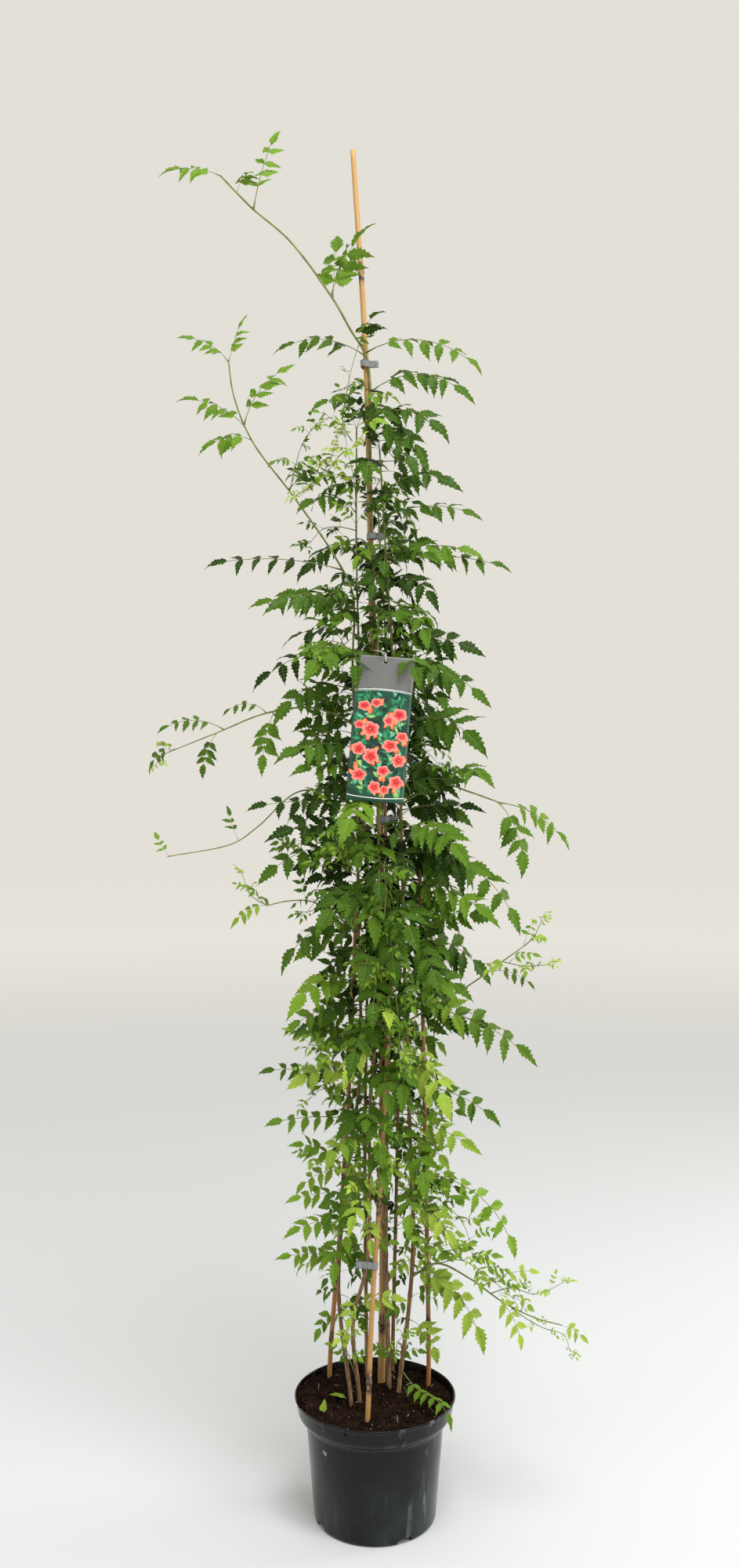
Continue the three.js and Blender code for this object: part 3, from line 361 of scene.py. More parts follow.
class Spline:
    """The centripetal Catmull-Rom curve through points, read by shares of its length."""

    SAMPLES = 200
    NUDGE = 1e-4  # to either side of a place, for the curve's direction there

    def __init__(self, points, closed=False):
        p = np.array(points, float)
        self.spans = len(p) if closed else len(p) - 1
        ends = (p[-1], [p[0], p[1]]) if closed else (2 * p[0] - p[1], [2 * p[-1] - p[-2]])
        self.points = np.vstack([ends[0], p, *ends[1]])
        self.places = np.linspace(0, 1, self.SAMPLES + 1)
        self.runs = runs_along(self.raw(self.places))
        self.length = self.runs[-1]

    def raw(self, places):
        place = np.clip(np.atleast_1d(places), 0, 1) * self.spans
        i = np.minimum(place.astype(int), self.spans - 1)
        t = (place - i)[:, None]
        a, b, c, d = (self.points[i + k] for k in range(4))
        pairs = ((a, b), (b, c), (c, d))
        ab, bc, cd = (np.sqrt(np.linalg.norm(q - p, axis=1))[:, None] for p, q in pairs)
        start = bc * ((b - a) / ab - (c - a) / (ab + bc) + (c - b) / bc)
        end = bc * ((c - b) / bc - (d - b) / (bc + cd) + (d - c) / cd)
        rise = 3 * (c - b) - 2 * start - end
        turn = 2 * (b - c) + start + end
        return b + t * (start + t * (rise + t * turn))

    def at(self, shares):
        """Points at shares of the length, and the curve's directions there."""
        places = np.interp(np.atleast_1d(shares) * self.length, self.runs, self.places)
        after, before = np.minimum(places + self.NUDGE, 1), np.maximum(places - self.NUDGE, 0)
        ahead = self.raw(after) - self.raw(before)
        return self.raw(places), unit_rows(ahead)


class Arc:
    """A leaf's midline: an arc in a vertical plane from the angle `rise` to the angle `fall`."""

    def __init__(self, base, bearing, rise, fall, length):
        self.base = np.array(base, float)
        self.out = heading(bearing)
        self.first = math.radians(rise)
        self.turn = math.radians(fall) - self.first or 1e-6
        self.length = length

    def at(self, shares):
        """Points at shares of the length, and the arc's directions there."""
        angle = self.first + self.turn * np.atleast_1d(shares)[:, None]
        out = self.length * (np.sin(angle) - math.sin(self.first)) / self.turn
        up = self.length * (math.cos(self.first) - np.cos(angle)) / self.turn
        return self.base + out * self.out + up * UP, np.cos(angle) * self.out + np.sin(angle) * UP


def centre_at(points, z):
    """The centre of a faceted tube at a height."""
    i = max(1, int(np.argmax(points[:, 2] >= z)))
    a, b = points[i - 1], points[i]
    return a + (b - a) * (z - a[2]) / (b[2] - a[2])


def centre_along(points, share):
    """The centre of a faceted tube at a share of its length."""
    place = share * (len(points) - 1)
    i = min(int(place), len(points) - 2)
    return points[i] + (points[i + 1] - points[i]) * (place - i)


# ---------------------------------------------------------------- building meshes

PLAIN_TONES = (0.5, 0.5, 0.5)
UV_LENGTH = 100  # the length of a tube, in mm, that one unit of its UVs spans


class Build:
    """Gathers one piece: its points in millimetres, its faces, and a UV place and a tone for each point."""

    def __init__(self):
        self.points, self.uvs, self.tones = [], [], []
        self.faces, self.looks = {3: [], 4: []}, {3: [], 4: []}  # by their number of sides
        self.count = 0

    def add(self, points, faces, look=0, uvs=None, tones=PLAIN_TONES):
        """Faces are arrays of triangles or of quads."""
        n = len(points)
        self.points.append(points)
        self.uvs.append(np.zeros((n, 2)) if uvs is None else uvs)
        self.tones.append(np.broadcast_to(tones, (n, 3)))
        for rows in faces:
            sides = rows.shape[1]
            self.faces[sides].append(rows + self.count)
            self.looks[sides].append(np.full(len(rows), look))
        self.count += n

    def add_faces(self, rows, look):
        """More faces on points that are there already."""
        self.faces[rows.shape[1]].append(rows)
        self.looks[rows.shape[1]].append(np.full(len(rows), look))

    def piece(self, name, materials, nodes=(), smooth=True):
        """Makes the Blender object, rides it on the root body and hides the nodes of the model that it
        stands for.
        """
        rows = {k: v for k, v in self.faces.items() if v}
        faces = [face for stacks in rows.values() for face in np.vstack(stacks).tolist()]
        looks = np.concatenate([np.concatenate(self.looks[k]) for k in rows])
        mesh = bpy.data.meshes.new(name)
        mesh.from_pydata((np.vstack(self.points) * MM).tolist(), [], faces)
        mesh.polygons.foreach_set("material_index", looks.astype(np.int32))
        mesh.polygons.foreach_set("use_smooth", np.full(len(looks), smooth))
        corners = np.empty(len(mesh.loops), np.int32)
        mesh.loops.foreach_get("vertex_index", corners)
        uvs = mesh.uv_layers.new(name="UVMap")
        uvs.data.foreach_set("uv", np.vstack(self.uvs)[corners].astype(np.float32).ravel())
        tones = mesh.attributes.new("tone", "FLOAT_COLOR", "POINT")
        rgb = np.vstack(self.tones)
        tones.data.foreach_set("color", np.hstack([rgb, np.ones((len(rgb), 1))]).astype(np.float32).ravel())
        mesh.validate()
        for material in materials:
            mesh.materials.append(material)
        obj = bpy.data.objects.new(name, mesh)
        bpy.context.scene.collection.objects.link(obj)
        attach(obj, "root")
        if nodes:
            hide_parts(*nodes)
        return obj


def grid_faces(rows, columns, closed=False):
    """The quads of a grid of points; a closed one joins its last column to its first."""
    i, j = np.meshgrid(np.arange(rows - 1), np.arange(columns if closed else columns - 1), indexing="ij")
    i, j = i.ravel(), j.ravel()
    k = (j + 1) % columns
    here, ahead = i * columns, (i + 1) * columns
    return np.stack([here + j, here + k, ahead + k, ahead + j], axis=1)


def fan_faces(hub, loop, flip=False):
    """The triangles from a hub to a closed loop of points."""
    loop = np.asarray(loop)
    ahead = np.roll(loop, -1)
    pair = (ahead, loop) if flip else (loop, ahead)
    return np.stack([np.full(len(loop), hub), *pair], axis=1)


def capped(rows, sides):
    """The faces of a stack of rings, closed by fans to two hubs that come after the rings' points."""
    hub = rows * sides
    first = fan_faces(hub, np.arange(sides), flip=True)
    last = fan_faces(hub + 1, hub - sides + np.arange(sides))
    return [grid_faces(rows, sides, closed=True), np.vstack([first, last])]


def rings_about(centres, radii, across, sides, along):
    """Rings of points about centres, from a direction across the line and the line's own direction."""
    turn = full_turn(sides)
    beside = np.cross(along, across)
    spokes = np.cos(turn)[None, :, None] * across[:, None] + np.sin(turn)[None, :, None] * beside[:, None]
    return (centres[:, None] + np.asarray(radii)[..., None, None] * spokes).reshape(-1, 3)


def add_rings(build, centres, rings, sides, look=0, uvs=None, tones=PLAIN_TONES):
    """A closed tube from its rings; tones are one for all of it, or one for each ring."""
    tones = np.asarray(tones, float)
    if tones.ndim == 2:
        tones = np.vstack([np.repeat(tones, sides, axis=0), tones[:1], tones[-1:]])
    points = np.vstack([rings, centres[:1], centres[-1:]])
    build.add(points, capped(len(centres), sides), look, uvs, tones)


def add_tube(build, centres, radii, sides, look=0, tones=PLAIN_TONES):
    """A closed tube; its frame is carried along without twisting."""
    tangents = unit_rows(np.gradient(centres, axis=0))
    normal = np.array([1.0, 0, 0]) if abs(tangents[0][0]) < 0.9 else UP
    across = []
    for tangent in tangents:
        normal = unit(normal - normal.dot(tangent) * tangent)
        across.append(normal)
    rings = rings_about(centres, radii, np.array(across), sides, tangents)
    up = runs_along(centres) / UV_LENGTH
    round_it = full_turn(sides) / (2 * math.pi)
    uvs = np.stack(np.broadcast_arrays(round_it[None, :], up[:, None]), axis=-1)
    uvs = np.vstack([uvs.reshape(-1, 2), [[0.5, 0], [0.5, up[-1]]]])
    add_rings(build, centres, rings, sides, look, uvs, tones)


def add_lathe(build, profile, sides):
    """A profile of (radius, height) points turned about Z; its first and last point lie on Z."""
    turn = full_turn(sides)
    rings = [ring_at(turn, r, z) for r, z in profile[1:-1]]
    hubs = [[0, 0, profile[0][1]], [0, 0, profile[-1][1]]]
    build.add(np.vstack([*rings, hubs]), capped(len(rings), sides))


def rounded(corners, steps=4):
    """A profile through (radius, height, fillet) corners, each fillet drawn as a short curve."""
    places = [np.array(c[:2], float) for c in corners]
    line = [places[0]]
    for i in range(1, len(corners) - 1):
        before, here, after = places[i - 1 : i + 2]
        cut = corners[i][2]
        start = here + unit(before - here) * min(cut, np.linalg.norm(before - here) / 2)
        end = here + unit(after - here) * min(cut, np.linalg.norm(after - here) / 2)
        for t in np.linspace(0, 1, steps + 1):
            line.append((1 - t) ** 2 * start + 2 * t * (1 - t) * here + t * t * end)
    line.append(places[-1])
    return [tuple(p) for p in line]


# ---------------------------------------------------------------- materials


def add_node(tree, kind, inputs=(), **settings):
    """A shader node; an input's value is a number, a colour or another node's socket."""
    node = tree.nodes.new("ShaderNode" + kind)
    for key, value in settings.items():
        setattr(node, key, value)
    for key, value in dict(inputs).items():
        if isinstance(value, bpy.types.NodeSocket):
            tree.links.new(value, node.inputs[key])
        else:
            node.inputs[key].default_value = value
    return node


def rgba(colour):
    """A colour with full opacity."""
    return (*colour, 1.0)


class Look:
    """A Principled material that is put together from procedural nodes."""

    def __init__(self, name, roughness=0.5, **sockets):
        self.material = bpy.data.materials.new(name)
        self.material.use_nodes = True
        self.tree = self.material.node_tree
        self.shader = self.tree.nodes["Principled BSDF"]
        self.shader.inputs["Roughness"].default_value = roughness
        for key, value in sockets.items():
            self.shader.inputs[key.replace("_", " ")].default_value = value

    def node(self, kind, inputs=(), **settings):
        return add_node(self.tree, kind, inputs, **settings)

    def place(self):
        """The point in metres, which is the same in the object's own coordinates."""
        return self.node("TexCoord").outputs["Object"]

    def stretched(self, scale):
        """The point scaled along each axis, for a grain."""
        return self.node("Mapping", {"Vector": self.place(), "Scale": scale}).outputs["Vector"]

    def noise(self, scale, detail=4.0, rough=0.55, vector=None, distortion=0.0):
        inputs = {"Vector": vector or self.place(), "Scale": scale, "Detail": detail,
                  "Roughness": rough, "Distortion": distortion}
        return self.node("TexNoise", inputs).outputs["Fac"]

    def maths(self, operation, a, b=0.0, c=0.0):
        return self.node("Math", {0: a, 1: b, 2: c}, operation=operation).outputs[0]

    def times(self, a, b):
        return self.maths("MULTIPLY", a, b)

    def between(self, value, low, high, to_low=0.0, to_high=1.0):
        """A smooth step from one number to another, between two values."""
        inputs = {"Value": value, "From Min": low, "From Max": high, "To Min": to_low, "To Max": to_high}
        return self.node("MapRange", inputs, interpolation_type="SMOOTHSTEP").outputs["Result"]

    def mix(self, share, a, b, blend="MIX"):
        """Two colours, with the second one's share."""
        node = self.node("Mix", {0: share}, data_type="RGBA", blend_type=blend)
        for index, value in ((6, a), (7, b)):
            if isinstance(value, bpy.types.NodeSocket):
                self.tree.links.new(value, node.inputs[index])
            else:
                node.inputs[index].default_value = rgba(value)
        return node.outputs[2]

    def ramp(self, value, stops):
        """A value turned into a colour through (place, colour) stops."""
        node = self.node("ValToRGB", {"Fac": value})
        elements = node.color_ramp.elements
        while len(elements) < len(stops):
            elements.new(0.5)
        for element, (position, colour) in zip(elements, stops):
            element.position = position
            element.color = rgba(colour)
        return node.outputs["Color"]

    def tone(self):
        """The three shares that the mesh keeps for each point."""
        attribute = self.node("Attribute", attribute_name="tone")
        split = self.node("SeparateColor", {"Color": attribute.outputs["Color"]})
        return [split.outputs[name] for name in ("Red", "Green", "Blue")]

    def finish(self, colour=None, roughness=None, height=None, bump=0.3, distance=0.0005):
        """Sets what is given, and returns the material; a height becomes bumps."""
        if colour is not None:
            self.set("Base Color", colour)
        if roughness is not None:
            self.set("Roughness", roughness)
        if height is not None:
            inputs = {"Height": height, "Strength": bump, "Distance": distance}
            self.tree.links.new(self.node("Bump", inputs).outputs["Normal"], self.shader.inputs["Normal"])
        return self.material

    def set(self, socket, value):
        if isinstance(value, bpy.types.NodeSocket):
            self.tree.links.new(value, self.shader.inputs[socket])
        else:
            self.shader.inputs[socket].default_value = value if isinstance(value, float) else rgba(value)


SCUFF = (-0.085, -0.082, 0.146)  # in metres, on the pot's front


def black_plastic():
    """Glossy moulded black plastic: dusty towards the foot, with pale streaks that run down it, strongest on
    its right side, partly real smears and partly painted sheen.
    """
    look = Look("black_pot_plastic", Specular_IOR_Level=0.24)
    split = look.node("SeparateXYZ", {"Vector": look.place()})
    side, height = split.outputs["X"], split.outputs["Z"]
    dust = look.times(look.between(look.noise(9, 6, 0.6), 0.3, 0.75), look.between(height, 0.19, 0.02))
    streaks = look.noise(1, 5, 0.62, look.stretched((42, 42, 5)), 0.6)
    # painted sheen: the pale streaks are masked to the pot's right side, partly real smears and partly the
    # lit floor's reflection
    smears_and_painted_sheen = look.times(look.between(streaks, 0.56, 0.66), look.between(side, 0.01, 0.08, 0.15, 1.0))
    grazed = look.noise(1, 3, 0.6, look.stretched((500, 500, 160)))
    from_scuff = look.node("VectorMath", {0: look.place(), 1: SCUFF}, operation="DISTANCE").outputs["Value"]
    scuff = look.times(look.between(from_scuff, 0.007, 0.002), look.between(grazed, 0.42, 0.52))
    specks = look.between(look.noise(420, 2), 0.7, 0.78)
    colour = look.mix(dust, (0.0025, 0.003, 0.003), (0.02, 0.024, 0.026))
    # pale streaks: real smears and painted sheen on the right side
    colour = look.mix(look.times(smears_and_painted_sheen, 0.6), colour, (0.15, 0.17, 0.18))
    colour = look.mix(look.times(scuff, 0.8), colour, (0.4, 0.41, 0.4))
    colour = look.mix(look.times(specks, 0.2), colour, (0.09, 0.08, 0.07))
    roughness = look.between(look.noise(26, 5, 0.6), 0.3, 0.75, 0.14, 0.28)
    return look.finish(colour, roughness, look.noise(14, 3, 0.5), 0.1, 0.004)


def peat():
    """Moist peat: brown-black crumbs, some of them lighter and drier."""
    look = Look("peat", 0.92, Specular_IOR_Level=0.06)
    crumbs = look.noise(160, 8, 0.7)
    patches = look.noise(22, 4)
    colour = look.ramp(crumbs, [
        (0.3, (0.003, 0.0018, 0.0013)), (0.52, (0.016, 0.008, 0.0045)), (0.68, (0.05, 0.026, 0.014)),
        (0.85, (0.13, 0.072, 0.038)),
    ])
    colour = look.mix(look.between(patches, 0.4, 0.7), colour, (0.55, 0.5, 0.47), "MULTIPLY")
    return look.finish(colour, None, look.noise(380, 6, 0.75), 0.9, 0.002)


def bamboo():
    """Split-grained tan cane, darker and mottled about its nodes, darker towards its foot, and with painted
    shade in its hollow top.
    """
    look = Look("bamboo", Specular_IOR_Level=0.45)
    node_mottle_and_bore_shade, shade, stain = look.tone()
    grain = look.noise(1, 4, 0.6, look.stretched((900, 900, 9)))
    tans = [(0.3, (0.34, 0.18, 0.055)), (0.55, (0.47, 0.285, 0.095)), (0.75, (0.56, 0.36, 0.14))]
    colour = look.ramp(grain, tans)
    colour = look.mix(stain, colour, (0.72, 0.5, 0.36), "MULTIPLY")
    weathered = look.between(look.noise(14, 5, 0.6, look.stretched((1, 1, 0.35))), 0.42, 0.7)
    colour = look.mix(look.times(weathered, 0.45), colour, (0.34, 0.19, 0.07))
    # darker towards the cane's foot, and painted shade in its hollow top
    colour = look.mix(look.times(shade, 0.4), colour, (0.27, 0.15, 0.06))
    mottle = look.between(look.noise(240, 4, 0.65, look.stretched((1, 1, 0.45))), 0.38, 0.54)
    # dark mottle about the nodes, and painted shade at the floor of the hollow top
    dark = look.times(mottle, look.between(node_mottle_and_bore_shade, 0.1, 0.55))
    colour = look.mix(dark, colour, (0.035, 0.02, 0.016))
    return look.finish(colour, look.between(grain, 0.3, 0.8, 0.42, 0.62), grain, 0.25, 0.0003)


def bark():
    """Vine bark: stringy and tan where the stem is old, green where it is young."""
    look = Look("vine_bark", 0.72, Specular_IOR_Level=0.3)
    woody, shade, _ = look.tone()
    strings = look.noise(1, 6, 0.65, look.stretched((520, 520, 26)), 0.4)
    old = look.ramp(strings, [
        (0.32, (0.04, 0.021, 0.01)), (0.47, (0.16, 0.085, 0.038)), (0.6, (0.29, 0.175, 0.085)),
        (0.75, (0.42, 0.29, 0.17)),
    ])
    young = look.ramp(look.noise(60, 3), [(0.35, (0.11, 0.13, 0.03)), (0.65, (0.21, 0.23, 0.07))])
    colour = look.mix(woody, young, old)
    colour = look.mix(look.times(shade, 0.35), colour, (0.06, 0.05, 0.02))
    height = look.times(strings, look.between(woody, 0.0, 1.0, 0.2, 1.0))
    return look.finish(colour, None, height, 0.7, 0.0012)


def leaf_green():
    """Leaflets: dark green when grown, yellow-green when young, with paler veins that dent the blade, and
    painted shade where they lie deep inside the column.
    """
    look = Look("leaf_green", Specular_IOR_Level=0.07)
    youth, shade, depth = look.tone()
    split = look.node("SeparateXYZ", {"Vector": look.node("UVMap", uv_map="UVMap").outputs["UV"]})
    phase = look.times(split.outputs["X"], 10.0)
    off_vein = look.maths("PINGPONG", phase, 0.5)
    off_rib = look.maths("ABSOLUTE", look.maths("SUBTRACT", split.outputs["Y"], 0.5))
    vein = look.between(off_vein, 0.0, 0.13, 1.0, 0.0)
    vein = look.times(vein, look.between(off_rib, 0.1, 0.44, 0.8, 0.15))
    rib = look.between(off_rib, 0.008, 0.04, 1.0, 0.0)
    lines = look.maths("MAXIMUM", vein, rib)
    colour = look.ramp(youth, [
        (0.0, (0.009, 0.027, 0.003)), (0.25, (0.029, 0.069, 0.006)), (0.5, (0.08, 0.165, 0.012)),
        (0.75, (0.18, 0.31, 0.024)), (1.0, (0.42, 0.54, 0.08)),
    ])
    mottle = look.noise(70, 5, 0.6)
    colour = look.mix(look.between(mottle, 0.35, 0.7, 0.0, 0.35), colour, (0.6, 0.75, 0.4), "MULTIPLY")
    colour = look.mix(look.times(shade, 0.8), colour, (0.46, 0.54, 0.42), "MULTIPLY")
    # painted shade: the tone's third share darkens the leaflets that lie deep inside the column
    colour = look.mix(depth, colour, (0.27, 0.32, 0.2), "MULTIPLY")
    paler = look.mix(0.45, colour, (0.3, 0.42, 0.12))
    colour = look.mix(look.times(lines, 0.5), colour, paler)
    height = look.maths("SUBTRACT", look.times(look.noise(520, 3), 0.3), lines)
    return look.finish(colour, look.between(mottle, 0.3, 0.7, 0.3, 0.46), height, 0.45, 0.0006)


def grey_tape():
    """Grey plastic tying tape, slightly crazed and dusty."""
    look = Look("grey_tape", Specular_IOR_Level=0.5)
    crazed = look.noise(330, 5, 0.65)
    greys = [(0.35, (0.12, 0.13, 0.125)), (0.6, (0.22, 0.235, 0.23)), (0.8, (0.34, 0.355, 0.35))]
    colour = look.ramp(crazed, greys)
    return look.finish(colour, look.between(crazed, 0.3, 0.7, 0.32, 0.5), crazed, 0.3, 0.0004)


def metal():
    """The bright steel of a staple."""
    look = Look("staple_steel", 0.34, Metallic=1.0)
    return look.finish((0.55, 0.55, 0.55))


def white_plastic():
    """The loop's slightly mottled white."""
    look = Look("white_plastic", 0.4, Specular_IOR_Level=0.5)
    tint = look.noise(200, 3)
    return look.finish(look.ramp(tint, [(0.3, (0.68, 0.68, 0.66)), (0.7, (0.82, 0.82, 0.8))]))


def ink(name, colour, spread=0.25, scale=260):
    """A printed colour that is a little uneven, under a glossy film."""
    look = Look("ink_" + name, 0.32, Specular_IOR_Level=0.5)
    darker = tuple(c * (1 - spread) for c in colour)
    return look.finish(look.mix(look.noise(scale, 3), darker, colour))


def shaded_ink(name, stops):
    """A printed colour that runs from a shape's middle to its outline."""
    look = Look("ink_" + name, 0.32, Specular_IOR_Level=0.5)
    blurred = look.maths("ADD", look.tone()[0], look.between(look.noise(300, 2), 0.2, 0.8, -0.1, 0.1))
    return look.finish(look.ramp(blurred, stops))


def studio_white():
    """The floor: paler far from the lamps, so that it stays as bright as the surroundings."""
    look = Look("studio_white", 0.95, Specular_IOR_Level=0.1)
    distance = look.node("VectorMath", {0: look.place()}, operation="LENGTH").outputs["Value"]
    colour = look.mix(look.between(distance, 1.0, 9.0), (0.61, 0.63, 0.645), (1.0, 1.0, 1.0))
    return look.finish(colour)


# ---------------------------------------------------------------- the lines that the growth follows


def cane_line(cane):
    """The model's ring centres along a cane."""
    curve = Spline(cane["points"])
    end = curve.length - CANE["plain_top"]
    nodes = np.arange(cane["first_node"], end, cane["spacing"])
    between = nodes + cane["spacing"] / 2
    half = CANE["node_half"]
    runs = sorted([0, *(nodes - half), *nodes, *(nodes + half), *between[between < end], curve.length])
    return curve.at(np.array(runs) / curve.length)[0]


cane_lines = {cane["name"]: cane_line(cane) for cane in CANES}


def cane_centre(z):
    """The main cane's centre at a height."""
    return centre_at(cane_lines["cane_main"], z)


def stem_curve(stem):
    """A stem's line: up from its foot, round the main cane and out at its free end."""
    climbing = []
    for z, reach, bearing in stem["climb"]:
        x, y, _ = cane_centre(z) + reach * heading(bearing)
        climbing.append((x, y, z))
    return Spline([*stem["foot"], *climbing, *stem["free"]])


def faceted(curve):
    """The model's ring centres along a stem or shoot."""
    count = max(3, math.ceil(curve.length / STEM_STEP))
    return curve.at(np.linspace(0, 1, count + 1))[0]


stem_curves = {stem["name"]: stem_curve(stem) for stem in STEMS}
lines = {name: faceted(curve) for name, curve in stem_curves.items()}
shoot_curves = {
    shoot["name"]: Spline([centre_at(lines[shoot["stem"]], shoot["height"]), *shoot["points"]])
    for shoot in SHOOTS
}
lines.update({name: faceted(curve) for name, curve in shoot_curves.items()})
curves = {**stem_curves, **shoot_curves}
stem_of = {**{s["name"]: s["name"] for s in STEMS}, **{s["name"]: s["stem"] for s in SHOOTS}}
radii_of = {row["name"]: row["radii"] for row in [*STEMS, *SHOOTS]}

# ---------------------------------------------------------------- leaflets and leaves

# Half a leaflet's width along its rib: an egg-shaped blade that narrows to a long tip.
BLADE_WIDTH = [
    (0, 0.012), (0.05, 0.105), (0.12, 0.19), (0.22, 0.246), (0.33, 0.258), (0.44, 0.238), (0.55, 0.19),
    (0.64, 0.14), (0.72, 0.09), (0.8, 0.055), (0.9, 0.028), (1, 0),
]
TOOTH = dict(first=0.1, last=0.78, depth=0.058, notch=0.83)
# Where a tooth's notch and tip are in its share of the blade, how far before the tip the blade's width is
# read, and how the depth varies.
TOOTH_PLACE = dict(
    notch=0.16, tip=0.8, tip_varies=0.12, width_before=0.3, least_depth=0.65, depth_varies=0.7,
)
VEIN_SLANT = 0.7  # a vein leaves the rib by this share of the half width before it meets the edge
TAIL_FROM = 0.55  # from here to its tip a leaflet bends aside and down
FORMS_OF_EACH = 8  # leaflets are drawn from so many forms of each kind
# For leaflets longer than each length: the teeth on a side, and the strips of faces across half of it.
FORM_KEYS = [(24, (5, 2)), (11, (4, 1)), (0, (2, 1))]


def blade_edge(teeth, rng):
    """A leaflet's edge as three rows: along, half its width, and the place among its veins."""
    place = TOOTH_PLACE
    edge = [(0.0, 0.012, 0.0), (0.045, 0.1, 0.35)]
    step = (TOOTH["last"] - TOOTH["first"]) / teeth
    for k in range(teeth):
        start = TOOTH["first"] + k * step
        notch = start + place["notch"] * step
        tip = start + (place["tip"] + place["tip_varies"] * rng.random()) * step
        share = place["least_depth"] + place["depth_varies"] * rng.random()
        depth = TOOTH["depth"] * share * (1 - 0.5 * k / teeth)
        edge.append((notch, read_off(BLADE_WIDTH, notch) * TOOTH["notch"], k + 0.6))
        edge.append((tip, read_off(BLADE_WIDTH, tip - place["width_before"] * step) + depth, k + 1.0))
    edge += [(0.86, 0.034, teeth + 0.4), (0.94, 0.017, teeth + 0.7)]
    return np.array(edge).T


def leaflet_form(teeth, strips, rng):
    """A leaflet one unit long: points (along, across, above), faces, and vein places for its UVs."""
    along, width, phase = blade_edge(teeth, rng)
    root = np.maximum.accumulate(np.maximum(along - VEIN_SLANT * width, 0.55 * along))
    count, columns = len(along), strips + 1
    shares = np.linspace(0, 1, columns)
    wave, fold = 6 * rng.random(), 0.16 + 0.5 * rng.random() ** 2
    tail_bend, tail_drop = 0.5 * (rng.random() - 0.5), 0.1 + 0.5 * rng.random()
    points, uvs, quads, tips = [], [], [], []
    for side in (1, -1):
        lean = 1 + 0.09 * side * (2 * rng.random() - 1)
        u = root[:, None] + (along - root)[:, None] * shares
        v = side * lean * width[:, None] * shares
        crease = fold * np.abs(v) - 0.55 * v**2
        quilt = 0.012 * np.where(phase[:, None] % 1 > 0.1, 1, -0.6) * np.sin(math.pi * shares)
        ripple = 0.02 * np.sin(2.1 * phase[:, None] + wave + side) * shares**2
        tail = np.maximum(u - TAIL_FROM, 0) ** 2
        blade = [u, v * (1 - 0.5 * fold) + tail_bend * tail, crease + quilt + ripple - tail_drop * tail]
        points.append(np.stack(blade, axis=-1).reshape(-1, 3))
        uvs.append(np.stack(np.broadcast_arrays(phase[:, None] / 10, 0.5 + 0.45 * side * shares), axis=-1))
        first = (0 if side > 0 else 1) * count * columns
        faces = grid_faces(count, columns) + first
        last = first + (count - 1) * columns
        quads.append(faces[:, ::-1] if side > 0 else faces)
        tip = np.stack([np.arange(last, last + strips), np.arange(last + 1, last + columns)], axis=1)
        ends = np.full(strips, 2 * count * columns)
        order = (tip[:, 0], ends, tip[:, 1]) if side > 0 else (tip[:, 1], ends, tip[:, 0])
        tips.append(np.stack(order, axis=1))
    tail = (1 - TAIL_FROM) ** 2
    points.append([[1.0, tail_bend * tail, -tail_drop * tail]])
    uvs = np.vstack([*(part.reshape(-1, 2) for part in uvs), [[(teeth + 1) / 10, 0.5]]])
    return np.vstack(points), [np.vstack(quads), np.vstack(tips)], uvs


form_rng = np.random.default_rng(11)
leaflet_forms = {key: [leaflet_form(*key, form_rng) for _ in range(FORMS_OF_EACH)] for _, key in FORM_KEYS}


def flipped(faces):
    """The faces turned to look the other way."""
    return [rows[:, ::-1] for rows in faces]


def turned_about(axis, v, angle):
    """v turned about a unit axis by an angle in radians."""
    cos, sin = math.cos(angle), math.sin(angle)
    return v * cos + np.cross(axis, v) * sin + axis * axis.dot(v) * (1 - cos)


def leaf_frame(midline, share, roll):
    """The leaf's own frame: a point, towards the tip, to the left and above."""
    points, tangents = midline.at(share)
    point, tangent = points[0], tangents[0]
    side = unit(np.cross(UP, tangent))
    above = np.cross(tangent, side)
    side = side * math.cos(roll) + above * math.sin(roll)
    return point, tangent, side, np.cross(tangent, side)


def end_tip(midline, roll, leaflet):
    """The tip of the leaflet at the leaf's end, where the model has a vertex."""
    point, tangent, _, above = leaf_frame(midline, LEAF["end_place"], roll)
    return point + (tangent - LEAF["curl"] * above) * leaflet * LEAF["end_share"]


BOX_INSET = 0.3  # a leaflet that would reach past the model's box is moved back to so far inside it
BOX_LOW, BOX_HIGH = np.array(cad_box[0]) / MM + BOX_INSET, np.array(cad_box[1]) / MM - BOX_INSET


def add_leaflet(build, form, point, directions, length, curl, tones, flip):
    """One leaflet of a form, laid out from a point along three directions."""
    along, across, normal = directions
    shape, faces, uvs = form
    u, v, w = shape.T[:, :, None]
    points = point + length * (along * u + across * v + normal * (w - curl * u * u))
    points += np.maximum(BOX_LOW - points.min(axis=0), 0) - np.maximum(points.max(axis=0) - BOX_HIGH, 0)
    build.add(points, flipped(faces) if flip else faces, 1, uvs, tones)


# Painted shade on the leaves: a leaflet counts as deep inside the column at the first share of the column's
# reach, and as outside at the second.
PAINTED_SHADE_INSIDE = dict(reach=0.6, deep=0.25, clear=0.95)


def painted_shade_at(point):
    """How deep inside the column a point lies, from 0 to 1: painted shade darkens the leaves there."""
    reach = PAINTED_SHADE_INSIDE["reach"] * read_off(LENGTH_AT, point[2])
    off = math.hypot(*(point - cane_centre(point[2]))[:2]) / reach
    return 1 - smooth_step(off, PAINTED_SHADE_INSIDE["deep"], PAINTED_SHADE_INSIDE["clear"])


# A leaf's stalk: where it ends, its rings on a leaf over `long_from` and on others, and from which length of
# leaf on it is full size. Its thickness against the model's goes by share of its length.
STALK = dict(end=0.96, rings=9, few_rings=6, long_from=90, full_from=130, sides=5)
STALK_THICK_AT = [(0, 1.9), (0.04, 1.5), (0.1, 0.95), (1, 0.5)]


